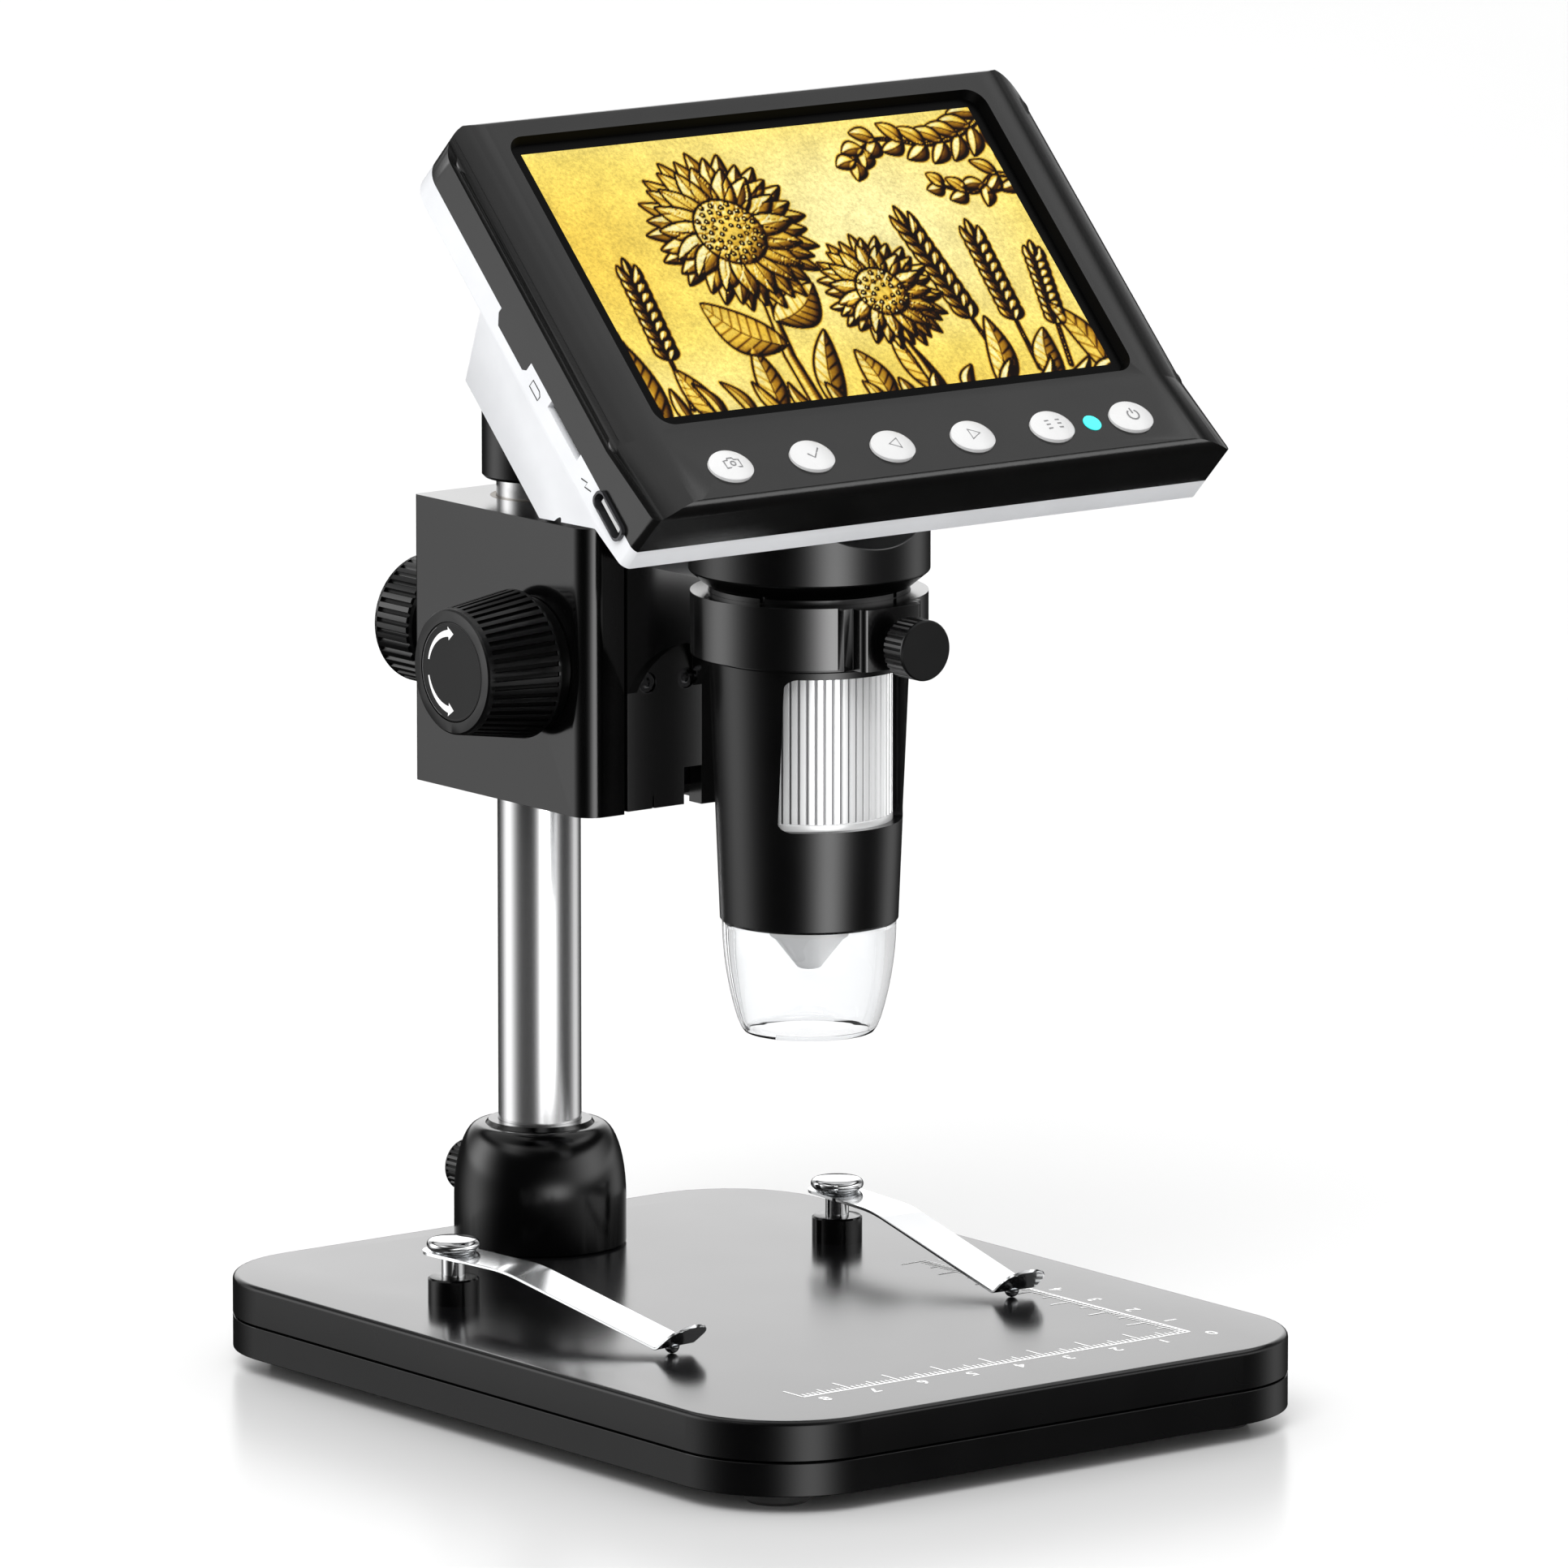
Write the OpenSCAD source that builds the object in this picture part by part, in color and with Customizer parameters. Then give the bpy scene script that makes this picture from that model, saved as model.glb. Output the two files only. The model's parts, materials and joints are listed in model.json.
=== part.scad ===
// Desk microscope with its own tilted screen, on a column stand with a stage
// Millimetres. The origin is on the table under the middle of the whole object,
// +Z is up, the user sits on the -Y side and X runs along the screen.

/* [Base] */
// Width of the base
base_w = 119; // [116:1:130]
// Depth of the base
base_d = 158; // [154:1:170]
// Radius of the base's corners
base_corner_r = 20; // [14:1:26]
// Height of the base's top face
base_top = 15.4; // [14.8:0.1:16]
// Height of the rubber feet
foot_h = 3; // [2.6:0.1:3.4]
// Diameter of the rubber feet
foot_d = 11; // [8:1:14]

/* [Column] */
// Diameter of the chromed pole
pole_d = 14; // [13.9:0.05:14.05]
// Distance from the lens tube's axis back to the pole's axis
throat = 74; // [73.5:0.1:74.5]
// Height of the pole's top end
pole_top = 160; // [156:1:164]
// Diameter of the socket that holds the pole
socket_d = 29; // [27:1:31]
// Height of the socket
socket_h = 20.5; // [19:0.5:22]

/* [Focus block] */
// Width of the block
block_w = 32; // [31:0.5:34]
// Depth of the block
block_d = 47.6; // [46:0.1:49]
// Height of the block
block_h = 48.4; // [48:0.1:50]
// Height of the block's lower face
block_z = 94.3; // [94:0.1:94.6]
// Radius of the block's front edges
block_front_r = 3.8; // [2:0.2:5]
// Number of teeth of the pinion
pinion_teeth = 15; // [15:2:15]
// Tooth module of the pinion and the rack
tooth_module = 0.8; // [0.8:0.1:0.8]

/* [Lens tube] */
// Outer diameter of the ring that clamps the tube
ring_d = 39; // [38:0.5:41]
// Height of the ring
ring_h = 10.2; // [9:0.1:10.5]
// Diameter of the tube in the ring
tube_d = 33; // [33:0.1:33]
// Diameter of the tube's lower end
tube_low_d = 29.3; // [29:0.1:30]
// Diameter of the collar under the screen housing
collar_d = 39.6; // [38:0.2:41]
// Width of the window over the focus wheel
window_w = 25.8; // [20:0.2:26]
// Diameter of the focus wheel
wheel_d = 27.4; // [27.4:0.1:27.4]

/* [Screen housing] */
// Slope of the screen
screen_tilt = 45; // [44:0.5:46]
// Width of the housing
head_w = 118; // [117:0.5:121]
// Width of the visible picture
picture_w = 95.04; // [94:0.01:96]
// Height of the visible picture
picture_h = 53.86; // [53:0.01:55]
// Slope of the button strip against the screen
chin_tilt = 7.5; // [5:0.5:9]
// Distance between the buttons
button_pitch = 16.4; // [15:0.1:16.5]
// Diameter of the buttons
button_d = 8.3; // [7:0.1:8.6]

/* [Stage clips] */
// Distance of each clip post from the middle
clip_x = 40.1; // [38:0.1:42]
// Width of the spring strips
strip_w = 8.2; // [7:0.1:9]
// Thickness of the spring strips
strip_t = 0.5; // [0.4:0.1:0.6]

/* [Hidden] */
$fn = 96;

eps = 0.01;              // overlap of joined shapes
run = 0.06;              // running clearance on a radius
fit = 0.1;               // clearance of a loose fit
wall = 2.2;              // wall of the moulded covers
screw_d = 2.9;           // shank of the small screws

// the whole object's middle lies between the base's front edge and the rear knob
tube_y = -21;
pole_y = tube_y + throat;
base_y = -6.6;
seam_z = 8.7;            // joint line between the two base covers
seam_gap = 0.4;
edge_r = 0.9;            // rounding of the base's top edge
foot_x = base_w/2 - 14;
foot_y = base_d/2 - 14;
boss_x = base_w/2 - 26;
boss_y = base_d/2 - 14;

pole_r = pole_d/2;
pole_wall = 1.5;
socket_r = socket_d/2;
socket_neck_r = 10.3;    // radius where the socket's shoulder ends
socket_floor = base_top + 1;
socket_top = base_top + socket_h;
bush_r = 8.6;
thumb_z = 25.1;          // height of the socket's thumb screw
thumb_r = 2;             // shank radius of both thumb screws

cap_r = 9.4;
cap_z = 145.9;
cap_top = 164;

block_y = pole_y - 34.4; // front face
block_back = block_y + block_d;
block_top = block_z + block_h;
drive_y = block_y + 14.8;
drive_z = 118.8;
clamp_z = 117.7;
shaft_r = 3;
knob_gap = 0.25;
pressure_angle = 20;
pinion_r = pinion_teeth*tooth_module/2;
tooth_pitch = PI*tooth_module;
backlash = 0.12;
rack_pitch_y = drive_y - pinion_r;
rack_add = 0.64;
tooth_ded = 1;
tongue_z = 97.2;
tongue_h = 45.2;
slot_w = 16;             // mouth of the block's front slot
slot_in_w = 22;          // width of the slot behind its lips
lip_y = block_y + 3.4;
plate_t = 1.9;
plate_y = block_y - 0.5; // front face of the arm's plate
arm_w = 15.4;
arm_wall = 1.9;          // cheeks and top of the hollow arm
arm_screw_x = [-3.5, 4.5];
arm_screw_z = 116;
notch_x = 4;             // the plate's lower right corner is cut out from here
notch_top = 101;

ring_z = 126.5;
ring_top = ring_z + ring_h;
tube_r = tube_d/2;
wheel_r = wheel_d/2;
bore_r = wheel_r + 0.08;
tube_top = 137.9;
tube_low = 81.9;
wheel_z = 97.6;
wheel_h = 28;
window_z = 98.9;
window_h = 25.5;
carrier_r = 11.4;
ring_screw_z = 130.7;

head_y = tube_y - 2.06;
head_z = 191.45;
head_r = head_w/2;
face_w = 1.6;            // height of the front face over the picture
edge_drop = 2.95;        // how far the front face falls to the side edges
edge_in = 9;             // width of the falling stretch
edge_arc = (edge_in*edge_in + edge_drop*edge_drop)/(2*edge_drop);
seam_w = -7.1;
kink_v = -31.5;
head_top = 33.2;
head_low = -47.9;
back_w = -11.7;
hump_w = -24.2;
hump_lean = 0.9;         // how far the hump's sides lean in
button_y = -8.7/cos(chin_tilt);
button_oval = 0.79;      // height of a button against its width
button_rise = 1.1;
switch_z = -5.8;         // face of the button board, under the strip's own face
lamp_x = 33;
board_w = back_w + wall; // the main board lies against the back
board_t = 0.8;
boss_w = seam_w;         // where the two shells' screw bosses meet
strip_lean = 5.15;       // the clips lean towards each other
post_y = pole_y - 29.8;
collar_top = base_top + 4.3;
strip_z = 23.7;

// ---------- shared shapes ----------

// rectangle with rounded corners, centred
module rounded_rect(w, d, r) {
    square([w - 2*r, d], center = true);
    square([w, d - 2*r], center = true);
    for (x = [-1, 1], y = [-1, 1]) translate([x*(w/2 - r), y*(d/2 - r)]) circle(r);
}

// plate with rounded corners whose upper edge is rounded by e
module round_top_plate(w, d, r, h, e) {
    linear_extrude(h - e) rounded_rect(w, d, r);
    linear_extrude(h) rounded_rect(w - 2*e, d - 2*e, r - e);
    for (s = [-1, 1]) {
        translate([s*(w/2 - e), 0, h - e]) rotate([90, 0, 0])
            cylinder(r = e, h = d - 2*r, center = true);
        translate([0, s*(d/2 - e), h - e]) rotate([0, 90, 0])
            cylinder(r = e, h = w - 2*r, center = true);
    }
    for (x = [-1, 1], y = [-1, 1]) translate([x*(w/2 - r), y*(d/2 - r), h - e])
        rotate_extrude() translate([r - e, 0]) circle(e, $fn = 32);
}

// ring of height h standing at z = 0
module tube(r_out, r_in, h) {
    difference() {
        cylinder(r = r_out, h = h);
        translate([0, 0, -eps]) cylinder(r = r_in, h = h + 2*eps);
    }
}

// disc with n ribs round it, from 0 to h; the ribs are flat topped
module ribbed(r, h, n, depth) {
    step = 360/n;
    linear_extrude(h) polygon([for (i = [0 : n - 1], k = [0 : 3])
        let (rr = (k == 1 || k == 2) ? r : r - depth, a = (i + [0.12, 0.27, 0.73, 0.88][k])*step)
        [rr*cos(a), rr*sin(a)]]);
}

// screw with a cylinder head, head down at z = 0 and shank up
module screw(shank_r, length, head_r, head_h) {
    difference() {
        cylinder(r = head_r, h = head_h);
        translate([0, 0, -eps]) cylinder(r = head_r*0.5, h = head_h*0.5, $fn = 6);
    }
    translate([0, 0, head_h - eps]) cylinder(r = shank_r, h = length + eps);
}

// hexagon-free thumb screw: knurled head from z = 0 to head_h, shank on to length
module thumb_screw(head_r, head_h, shank_length, ribs) {
    ribbed(head_r, head_h - 0.6, ribs, 0.35);
    translate([0, 0, head_h - 0.7]) cylinder(r1 = head_r - 0.42, r2 = head_r - 0.9, h = 0.7);
    translate([0, 0, -0.5]) cylinder(r1 = head_r - 0.9, r2 = head_r - 0.42, h = 0.5 + eps);
    translate([0, 0, head_h - eps]) cylinder(r = thumb_r, h = shank_length);
}

module at_pole(z = 0) { translate([0, pole_y, z]) children(); }
module at_tube(z = 0) { translate([0, tube_y, z]) children(); }
// the housing's own axes: x along the screen, y up its slope, z out of the picture
module in_head() { translate([0, head_y, head_z]) rotate([screen_tilt, 0, 0]) children(); }
// the button strip's own axes: z = 0 on its face at the bend
module on_chin() { translate([0, kink_v, face_w]) rotate([-chin_tilt, 0, 0]) children(); }
module at_corners(x, y) { for (sx = [-1, 1], sy = [-1, 1]) translate([sx*x, sy*y, 0]) children(); }

// ---------- base ----------

module base_upper_cover() {
    z0 = seam_z + seam_gap/2;
    h = base_top - z0;
    color("#1d1d1f") difference() {
        union() {
            translate([0, base_y, z0]) difference() {
                round_top_plate(base_w, base_d, base_corner_r, h, edge_r);
                translate([0, 0, -eps]) linear_extrude(h - wall)
                    rounded_rect(base_w - 2*wall, base_d - 2*wall, base_corner_r - wall);
            }
            translate([0, base_y, z0]) at_corners(boss_x, boss_y) cylinder(r = 4, h = h - 1);
            for (s = [-1, 1]) translate([s*clip_x, post_y, z0 + 1]) cylinder(r = 5, h = h - 2);
        }
        translate([0, base_y, 0]) at_corners(boss_x, boss_y)
            translate([0, 0, z0 - 1]) cylinder(r = screw_d/2 + 0.05, h = 5);
        for (s = [-1, 1]) translate([s*clip_x, post_y, z0]) cylinder(r = thumb_r + 0.05, h = h + 1);
        at_pole(z0) for (a = [90, 210, 330]) rotate(a) translate([11.2, 0, 0])
            cylinder(r = screw_d/2 + 0.05, h = h + 1);
    }
}

module base_lower_cover() {
    z1 = seam_z - seam_gap/2;
    lip = wall + 0.15;
    color("#161617") translate([0, base_y, 0]) difference() {
        union() {
            translate([0, 0, foot_h]) linear_extrude(z1 - foot_h)
                rounded_rect(base_w, base_d, base_corner_r);
            translate([0, 0, foot_h]) linear_extrude(seam_z + 2.2 - foot_h)
                rounded_rect(base_w - 2*lip, base_d - 2*lip, base_corner_r - lip);
        }
        difference() {
            translate([0, 0, foot_h + 2]) linear_extrude(12)
                rounded_rect(base_w - 2*(lip + 1.6), base_d - 2*(lip + 1.6), base_corner_r - lip - 1.6);
            at_corners(boss_x, boss_y) cylinder(r = 4.6, h = seam_z + seam_gap/2 - eps);
        }
        at_corners(boss_x, boss_y) {
            cylinder(r = screw_d/2 + fit, h = 20);
            cylinder(r = 3.1, h = foot_h + 2.4);
        }
        at_corners(foot_x, foot_y) cylinder(r = foot_d/2 + 0.05, h = foot_h + 0.8);
    }
}

module base_ballast() {
    color("#77797c") translate([0, base_y, foot_h + 2]) difference() {
        linear_extrude(3.2) rounded_rect(base_w - 14, base_d - 14, base_corner_r - 6);
        at_corners(boss_x, boss_y) translate([0, 0, -1]) cylinder(r = 5.2, h = 6);
    }
}

module base_feet() {
    color("#2b2b2b") translate([0, base_y, 0]) at_corners(foot_x, foot_y) {
        cylinder(r1 = foot_d/2 - 0.6, r2 = foot_d/2, h = 0.6);
        translate([0, 0, 0.6 - eps]) cylinder(r = foot_d/2, h = foot_h + 0.2);
    }
}

module base_screws() {
    color("silver") translate([0, base_y, foot_h + 0.2]) at_corners(boss_x, boss_y)
        screw(screw_d/2, 7.2, 2.8, 2.2);
}

// ---------- column ----------

module pole_socket() {
    shoulder_z = base_top + 8;
    color("#0e0e10") at_pole() difference() {
        rotate_extrude() polygon(concat(
            [[0, base_top], [socket_r - 0.4, base_top], [socket_r, base_top + 0.4]],
            [for (a = [0 : 7.5 : 82.5]) [socket_neck_r + (socket_r - socket_neck_r)*cos(a),
                shoulder_z + (socket_top - shoulder_z)*sin(a)]],
            [[socket_neck_r, socket_top], [0, socket_top]]));
        translate([0, 0, socket_floor]) cylinder(r = bush_r, h = socket_h + 1);
        translate([0, 0, thumb_z]) rotate([-90, 0, 0]) cylinder(r = thumb_r + run, h = socket_r + 1);
        translate([0, socket_r + 3.1, thumb_z]) rotate([90, 0, 0]) cylinder(r = 5.2, h = 4);
        for (a = [90, 210, 330]) rotate(a) translate([11.2, 0, base_top - 1])
            cylinder(r = screw_d/2 + 0.05, h = 7);
    }
}

module socket_screws() {
    color("silver") at_pole(base_top - wall - 2.2 - 0.02) for (a = [90, 210, 330])
        rotate(a) translate([11.2, 0, 0]) screw(screw_d/2, 7.4, 2.7, 2.2);
}

module socket_bush() {
    color("#3a3b3d") at_pole() difference() {
        union() {
            translate([0, 0, socket_floor]) cylinder(r = bush_r - 0.02, h = socket_top - socket_floor);
            translate([0, 0, socket_top - eps]) cylinder(r1 = 9.2, r2 = 8.7, h = 0.7);
        }
        translate([0, 0, socket_floor - 1]) cylinder(r = pole_r + run, h = socket_h + 4);
        translate([0, 0, thumb_z]) rotate([-90, 0, 0]) cylinder(r = thumb_r + run, h = 12);
    }
}

module socket_thumb_screw() {
    color("#121213") translate([0, pole_y + socket_r + 6.1, thumb_z]) rotate([90, 0, 0])
        thumb_screw(4.5, 4.6, socket_r + 1.5 - pole_r - 0.1, 24);
}

module pole() {
    color("#d5d7da") at_pole(socket_floor + 0.1) {
        tube(pole_r, pole_r - pole_wall, pole_top - socket_floor - 0.1);
        tube(pole_r - pole_wall + eps, 1.5, 3);
    }
}

module pole_cap() {
    color("#1a1a1c") at_pole() difference() {
        rotate_extrude() polygon(concat(
            [[0, cap_z], [cap_r - 0.5, cap_z], [cap_r, cap_z + 0.5]],
            [for (a = [0 : 15 : 90]) [cap_r - 2.2 + 2.2*cos(a), cap_top - 2.2 + 2.2*sin(a)]],
            [[0, cap_top]]));
        difference() {
            translate([0, 0, cap_z - 1]) cylinder(r = pole_r + 0.05, h = pole_top - cap_z + 1.02);
            translate([0, 0, pole_top - 9]) cylinder(r = pole_r - pole_wall - 0.05, h = 12);
        }
    }
}

// ---------- stage clips ----------

module clip_collars() {
    color("#0e0e10") for (s = [-1, 1]) translate([s*clip_x, post_y, base_top]) difference() {
        union() {
            cylinder(r = 4.25, h = collar_top - base_top - 0.3);
            translate([0, 0, collar_top - base_top - 0.3 - eps]) cylinder(r1 = 4.25, r2 = 3.95, h = 0.3);
        }
        translate([0, 0, -1]) cylinder(r = thumb_r + 0.02, h = 8);
    }
}

module clip_studs() {
    head_r = 4.45;
    head_z = strip_z + strip_t/2 + 0.03;
    color("#dfe1e4") for (s = [-1, 1]) translate([s*clip_x, post_y, 0]) rotate_extrude() polygon(concat(
        [[0, 11], [thumb_r, 11], [thumb_r, head_z], [head_r - 0.8, head_z]],
        [for (a = [-90 : 18 : 90]) [head_r - 0.95 + 0.95*cos(a), head_z + 1.15 + 0.95*sin(a)]],
        [[head_r - 2, head_z + 2.3], [0, head_z + 2.4]]));
}

// middle line of the strip: flat at the post, a soft bend down, then a lip that turns up
bend_1 = 10.7;           // slope of the long stretch
bend_r = 36;
bend_s = 13.5;
fold_s = 53.6;
lip_angle = 38;
lip_len = 6;
fold_r = 1.6;
function strip_height(s) = s < bend_s ? strip_z : s < bend_s + bend_r*sin(bend_1)
    ? strip_z - (bend_r - sqrt(bend_r*bend_r - (s - bend_s)*(s - bend_s)))
    : strip_z - bend_r*(1 - cos(bend_1)) - (s - bend_s - bend_r*sin(bend_1))*tan(bend_1);
fold_start = fold_s - fold_r*sin(bend_1);
strip_path = concat(
    [for (s = [-5.6, 0, bend_s]) [s, strip_height(s), 0]],
    [for (k = [1 : 5]) let (a = bend_1*k/5) [bend_s + bend_r*sin(a), strip_z - bend_r*(1 - cos(a)), -a]],
    [for (k = [0 : 8]) let (a = -bend_1 + (bend_1 + lip_angle)*k/8)
        [fold_s + fold_r*sin(a), strip_height(fold_start) + fold_r*(cos(bend_1) - cos(a)), a]],
    [[fold_s + fold_r*sin(lip_angle) + lip_len*cos(lip_angle),
      strip_height(fold_start) + fold_r*(cos(bend_1) - cos(lip_angle)) + lip_len*sin(lip_angle), lip_angle]]);
function strip_side(t) = [for (p = strip_path) [p[0] - t*sin(p[2]), p[1] + t*cos(p[2])]];

// the strip lies along -Y of its own post, its post axis at x = y = 0
module spring_clip() {
    over = strip_side(strip_t/2);
    under = strip_side(-strip_t/2);
    n = len(over);
    tip_s = strip_path[len(strip_path) - 1][0] + 0.2;
    color("#e4e6e8") difference() {
        union() {
            intersection() {
                rotate([90, 0, -90]) translate([0, 0, -strip_w]) linear_extrude(2*strip_w)
                    polygon(concat(over, [for (i = [n - 1 : -1 : 0]) under[i]]));
                linear_extrude(60) difference() {
                    union() {
                        translate([0, 1.5]) circle(strip_w/2);
                        translate([-strip_w/2, -tip_s]) square([strip_w, tip_s + 1.5]);
                    }
                    for (m = [0, 1]) mirror([m, 0]) translate([strip_w/2, -tip_s]) rotate(45)
                        square([3.2, 3.2], center = true);
                }
            }
            translate([0, -fold_s, strip_height(fold_start) - 0.15]) sphere(r = 1.25, $fn = 48);
        }
        translate([0, 0, strip_z - 3]) cylinder(r = thumb_r + run, h = 6);
    }
}

module spring_clip_left() { translate([-clip_x, post_y, 0]) rotate(strip_lean) spring_clip(); }
module spring_clip_right() { translate([clip_x, post_y, 0]) rotate(-strip_lean) spring_clip(); }

// ---------- focus block ----------

module focus_block() {
    rb = 0.8;
    color("#2a2b2d") difference() {
        translate([0, 0, block_z]) linear_extrude(block_h) union() {
            for (s = [-1, 1]) {
                translate([s*(block_w/2 - block_front_r), block_y + block_front_r]) circle(block_front_r);
                translate([s*(block_w/2 - rb), block_back - rb]) circle(rb, $fn = 32);
            }
            translate([-block_w/2, block_y + block_front_r])
                square([block_w, block_d - block_front_r - rb]);
            translate([-block_w/2 + block_front_r, block_y])
                square([block_w - 2*block_front_r, block_front_r + eps]);
            translate([-block_w/2 + rb, block_back - 2*rb]) square([block_w - 2*rb, 2*rb]);
        }
        at_pole(block_z - 1) cylinder(r = 8, h = block_h + 2);
        // slot for the slide, narrow at its mouth
        translate([-slot_w/2, block_y - 1, block_z - 1]) cube([slot_w, 6, block_h + 2]);
        translate([-slot_in_w/2, lip_y, block_z - 1]) cube([slot_in_w, 6.4, block_h + 2]);
        // drive shaft and pinion
        translate([-block_w/2 - 1, drive_y, drive_z]) rotate([0, 90, 0]) {
            cylinder(r = shaft_r + run, h = block_w - 2);
            translate([0, 0, block_w/2 - 5]) cylinder(r = 7.6, h = 12);
        }
        // clamping screw from the back
        translate([0, block_back + 1, clamp_z]) rotate([90, 0, 0])
            cylinder(r = shaft_r + run, h = block_back - pole_y);
    }
}

module block_bushes() {
    color("#c9b37c") for (z = [block_z, block_top - 10]) at_pole(z) tube(8 - 0.02, pole_r + run, 10);
}

module clamp_pad() {
    color("#b5924a") translate([0, pole_y + pole_r + 2.6, clamp_z]) rotate([90, 0, 0])
        cylinder(r = shaft_r, h = 2.5);
}

module clamp_screw() {
    color("#b9bcc0") translate([0, block_back + 2, clamp_z]) rotate([90, 0, 0])
        cylinder(r = shaft_r, h = block_back + 2 - pole_y - pole_r - 2.65);
}

module clamp_knob() {
    y0 = block_back + knob_gap;
    color("#161617") translate([0, y0, clamp_z]) rotate([-90, 0, 0]) difference() {
        union() {
            cylinder(r = 8.4, h = 9.3);
            translate([0, 0, 9]) ribbed(11, 9.45, 24, 0.9);
            translate([0, 0, 8.6]) cylinder(r1 = 9.4, r2 = 10.1, h = 0.5);
            translate([0, 0, 18.45 - eps]) cylinder(r1 = 10.1, r2 = 9.2, h = 0.7 + eps);
        }
        translate([0, 0, -1]) cylinder(r = shaft_r, h = 1 + 2 - knob_gap);
    }
}

// ---------- height drive ----------

function inv_deg(a) = tan(a)*180/PI - a;
pinion_base_r = pinion_r*cos(pressure_angle);
half_pitch_deg = (tooth_pitch/2 - backlash)/(2*pinion_r)*180/PI;
function half_tooth(r) = half_pitch_deg + inv_deg(pressure_angle)
    - inv_deg(acos(min(1, pinion_base_r/r)));
pinion_tip = pinion_r + 0.9*tooth_module;
pinion_root = pinion_r - tooth_ded;

module drive_pinion() {
    flank = [for (k = [0 : 4]) pinion_base_r + (pinion_tip - pinion_base_r)*k/4];
    color("#b5924a") translate([-4, drive_y, drive_z]) rotate([90, 0, 90]) difference() {
        linear_extrude(8) polygon([for (i = [0 : pinion_teeth - 1]) let (c = i*360/pinion_teeth)
            each concat(
                [[pinion_root*cos(c - half_tooth(flank[0])), pinion_root*sin(c - half_tooth(flank[0]))]],
                [for (r = flank) [r*cos(c - half_tooth(r)), r*sin(c - half_tooth(r))]],
                [for (k = [4 : -1 : 0]) let (r = flank[k], a = c + half_tooth(r)) [r*cos(a), r*sin(a)]],
                [[pinion_root*cos(c + half_tooth(flank[0])), pinion_root*sin(c + half_tooth(flank[0]))]])]);
        translate([0, 0, -1]) cylinder(r = shaft_r, h = 10);
    }
}

module focus_rack() {
    half = tooth_pitch/4 - backlash/2;
    slope = tan(pressure_angle);
    color("#b5924a") translate([-4, 0, 0]) rotate([90, 0, 90]) linear_extrude(8) polygon(concat(
        [[lip_y + 2.6, tongue_z + tongue_h], [lip_y + 2.6, tongue_z], [rack_pitch_y - tooth_ded, tongue_z]],
        [for (k = [-8 : 9], e = [0 : 3]) let (z = drive_z + k*tooth_pitch)
            e == 0 ? [rack_pitch_y - tooth_ded, z - half - tooth_ded*slope] :
            e == 1 ? [rack_pitch_y + rack_add, z - half + rack_add*slope] :
            e == 2 ? [rack_pitch_y + rack_add, z + half - rack_add*slope] :
                     [rack_pitch_y - tooth_ded, z + half + tooth_ded*slope]],
        [[rack_pitch_y - tooth_ded, tongue_z + tongue_h]]));
}

module pinion_shaft() {
    color("#b9bcc0") translate([-block_w/2 - 14, drive_y, drive_z]) rotate([0, 90, 0])
        cylinder(r = shaft_r, h = block_w + 10.5);
}

knob_h = 16.3;           // the height knob's length
module height_knob() {
    hub_h = 2.3;
    ramp = 0.5;
    brim = 0.3;
    r_in = 12.45;
    r_out = 10.45;
    ribs = 44;
    grip_h = knob_h - hub_h - ramp - brim;
    color("#151516") translate([-block_w/2 - knob_gap, drive_y, drive_z]) rotate([0, -90, 0]) difference() {
        union() {
            cylinder(r = 11, h = hub_h);
            translate([0, 0, hub_h - eps]) cylinder(r1 = r_in - 0.9, r2 = r_in, h = ramp + eps);
            difference() {
                translate([0, 0, hub_h + ramp - eps]) cylinder(r1 = r_in, r2 = r_out, h = grip_h + eps);
                for (i = [0 : ribs - 1]) rotate(i*360/ribs)
                    translate([r_in, 0, hub_h + ramp + 0.5])
                        rotate([0, -atan((r_in - r_out)/grip_h), 0])
                            translate([-0.55, -0.4, 0]) cube([2, 0.8, grip_h - 1.3]);
            }
            translate([0, 0, knob_h - brim - eps]) cylinder(r1 = r_out, r2 = r_out - brim, h = brim + eps);
        }
        translate([0, 0, -1]) cylinder(r = shaft_r, h = 15 - knob_gap);
        translate([0, 0, knob_h - 0.8]) cylinder(r = 8.4, h = 2);
    }
}

module knob_disc() {
    color("#1f1f21") translate([-block_w/2 - knob_gap - knob_h + 0.8, drive_y, drive_z])
        rotate([0, -90, 0]) cylinder(r = 8.3, h = 0.75);
}

module slide_tongue() {
    color("#515356") difference() {
        union() {
            translate([-slot_w/2 + fit, plate_y + plate_t, tongue_z])
                cube([slot_w - 2*fit, lip_y + fit - plate_y - plate_t + eps, tongue_h]);
            translate([-slot_in_w/2 + fit, lip_y + fit, tongue_z])
                cube([slot_in_w - 2*fit, 2.5, tongue_h]);
        }
        for (x = arm_screw_x) translate([x, plate_y, arm_screw_z]) rotate([-90, 0, 0])
            cylinder(r = screw_d/2 + 0.02, h = 7);
        translate([notch_x, plate_y, tongue_z - 1]) cube([slot_w, lip_y - plate_y, notch_top - tongue_z + 1]);
    }
}

module slide_screws() {
    color("#1a1a1c") for (x = arm_screw_x) translate([x, plate_y + 0.4, arm_screw_z]) rotate([-90, 0, 0])
        screw(screw_d/2, 5, 1.68, 0.8);
}

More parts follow.
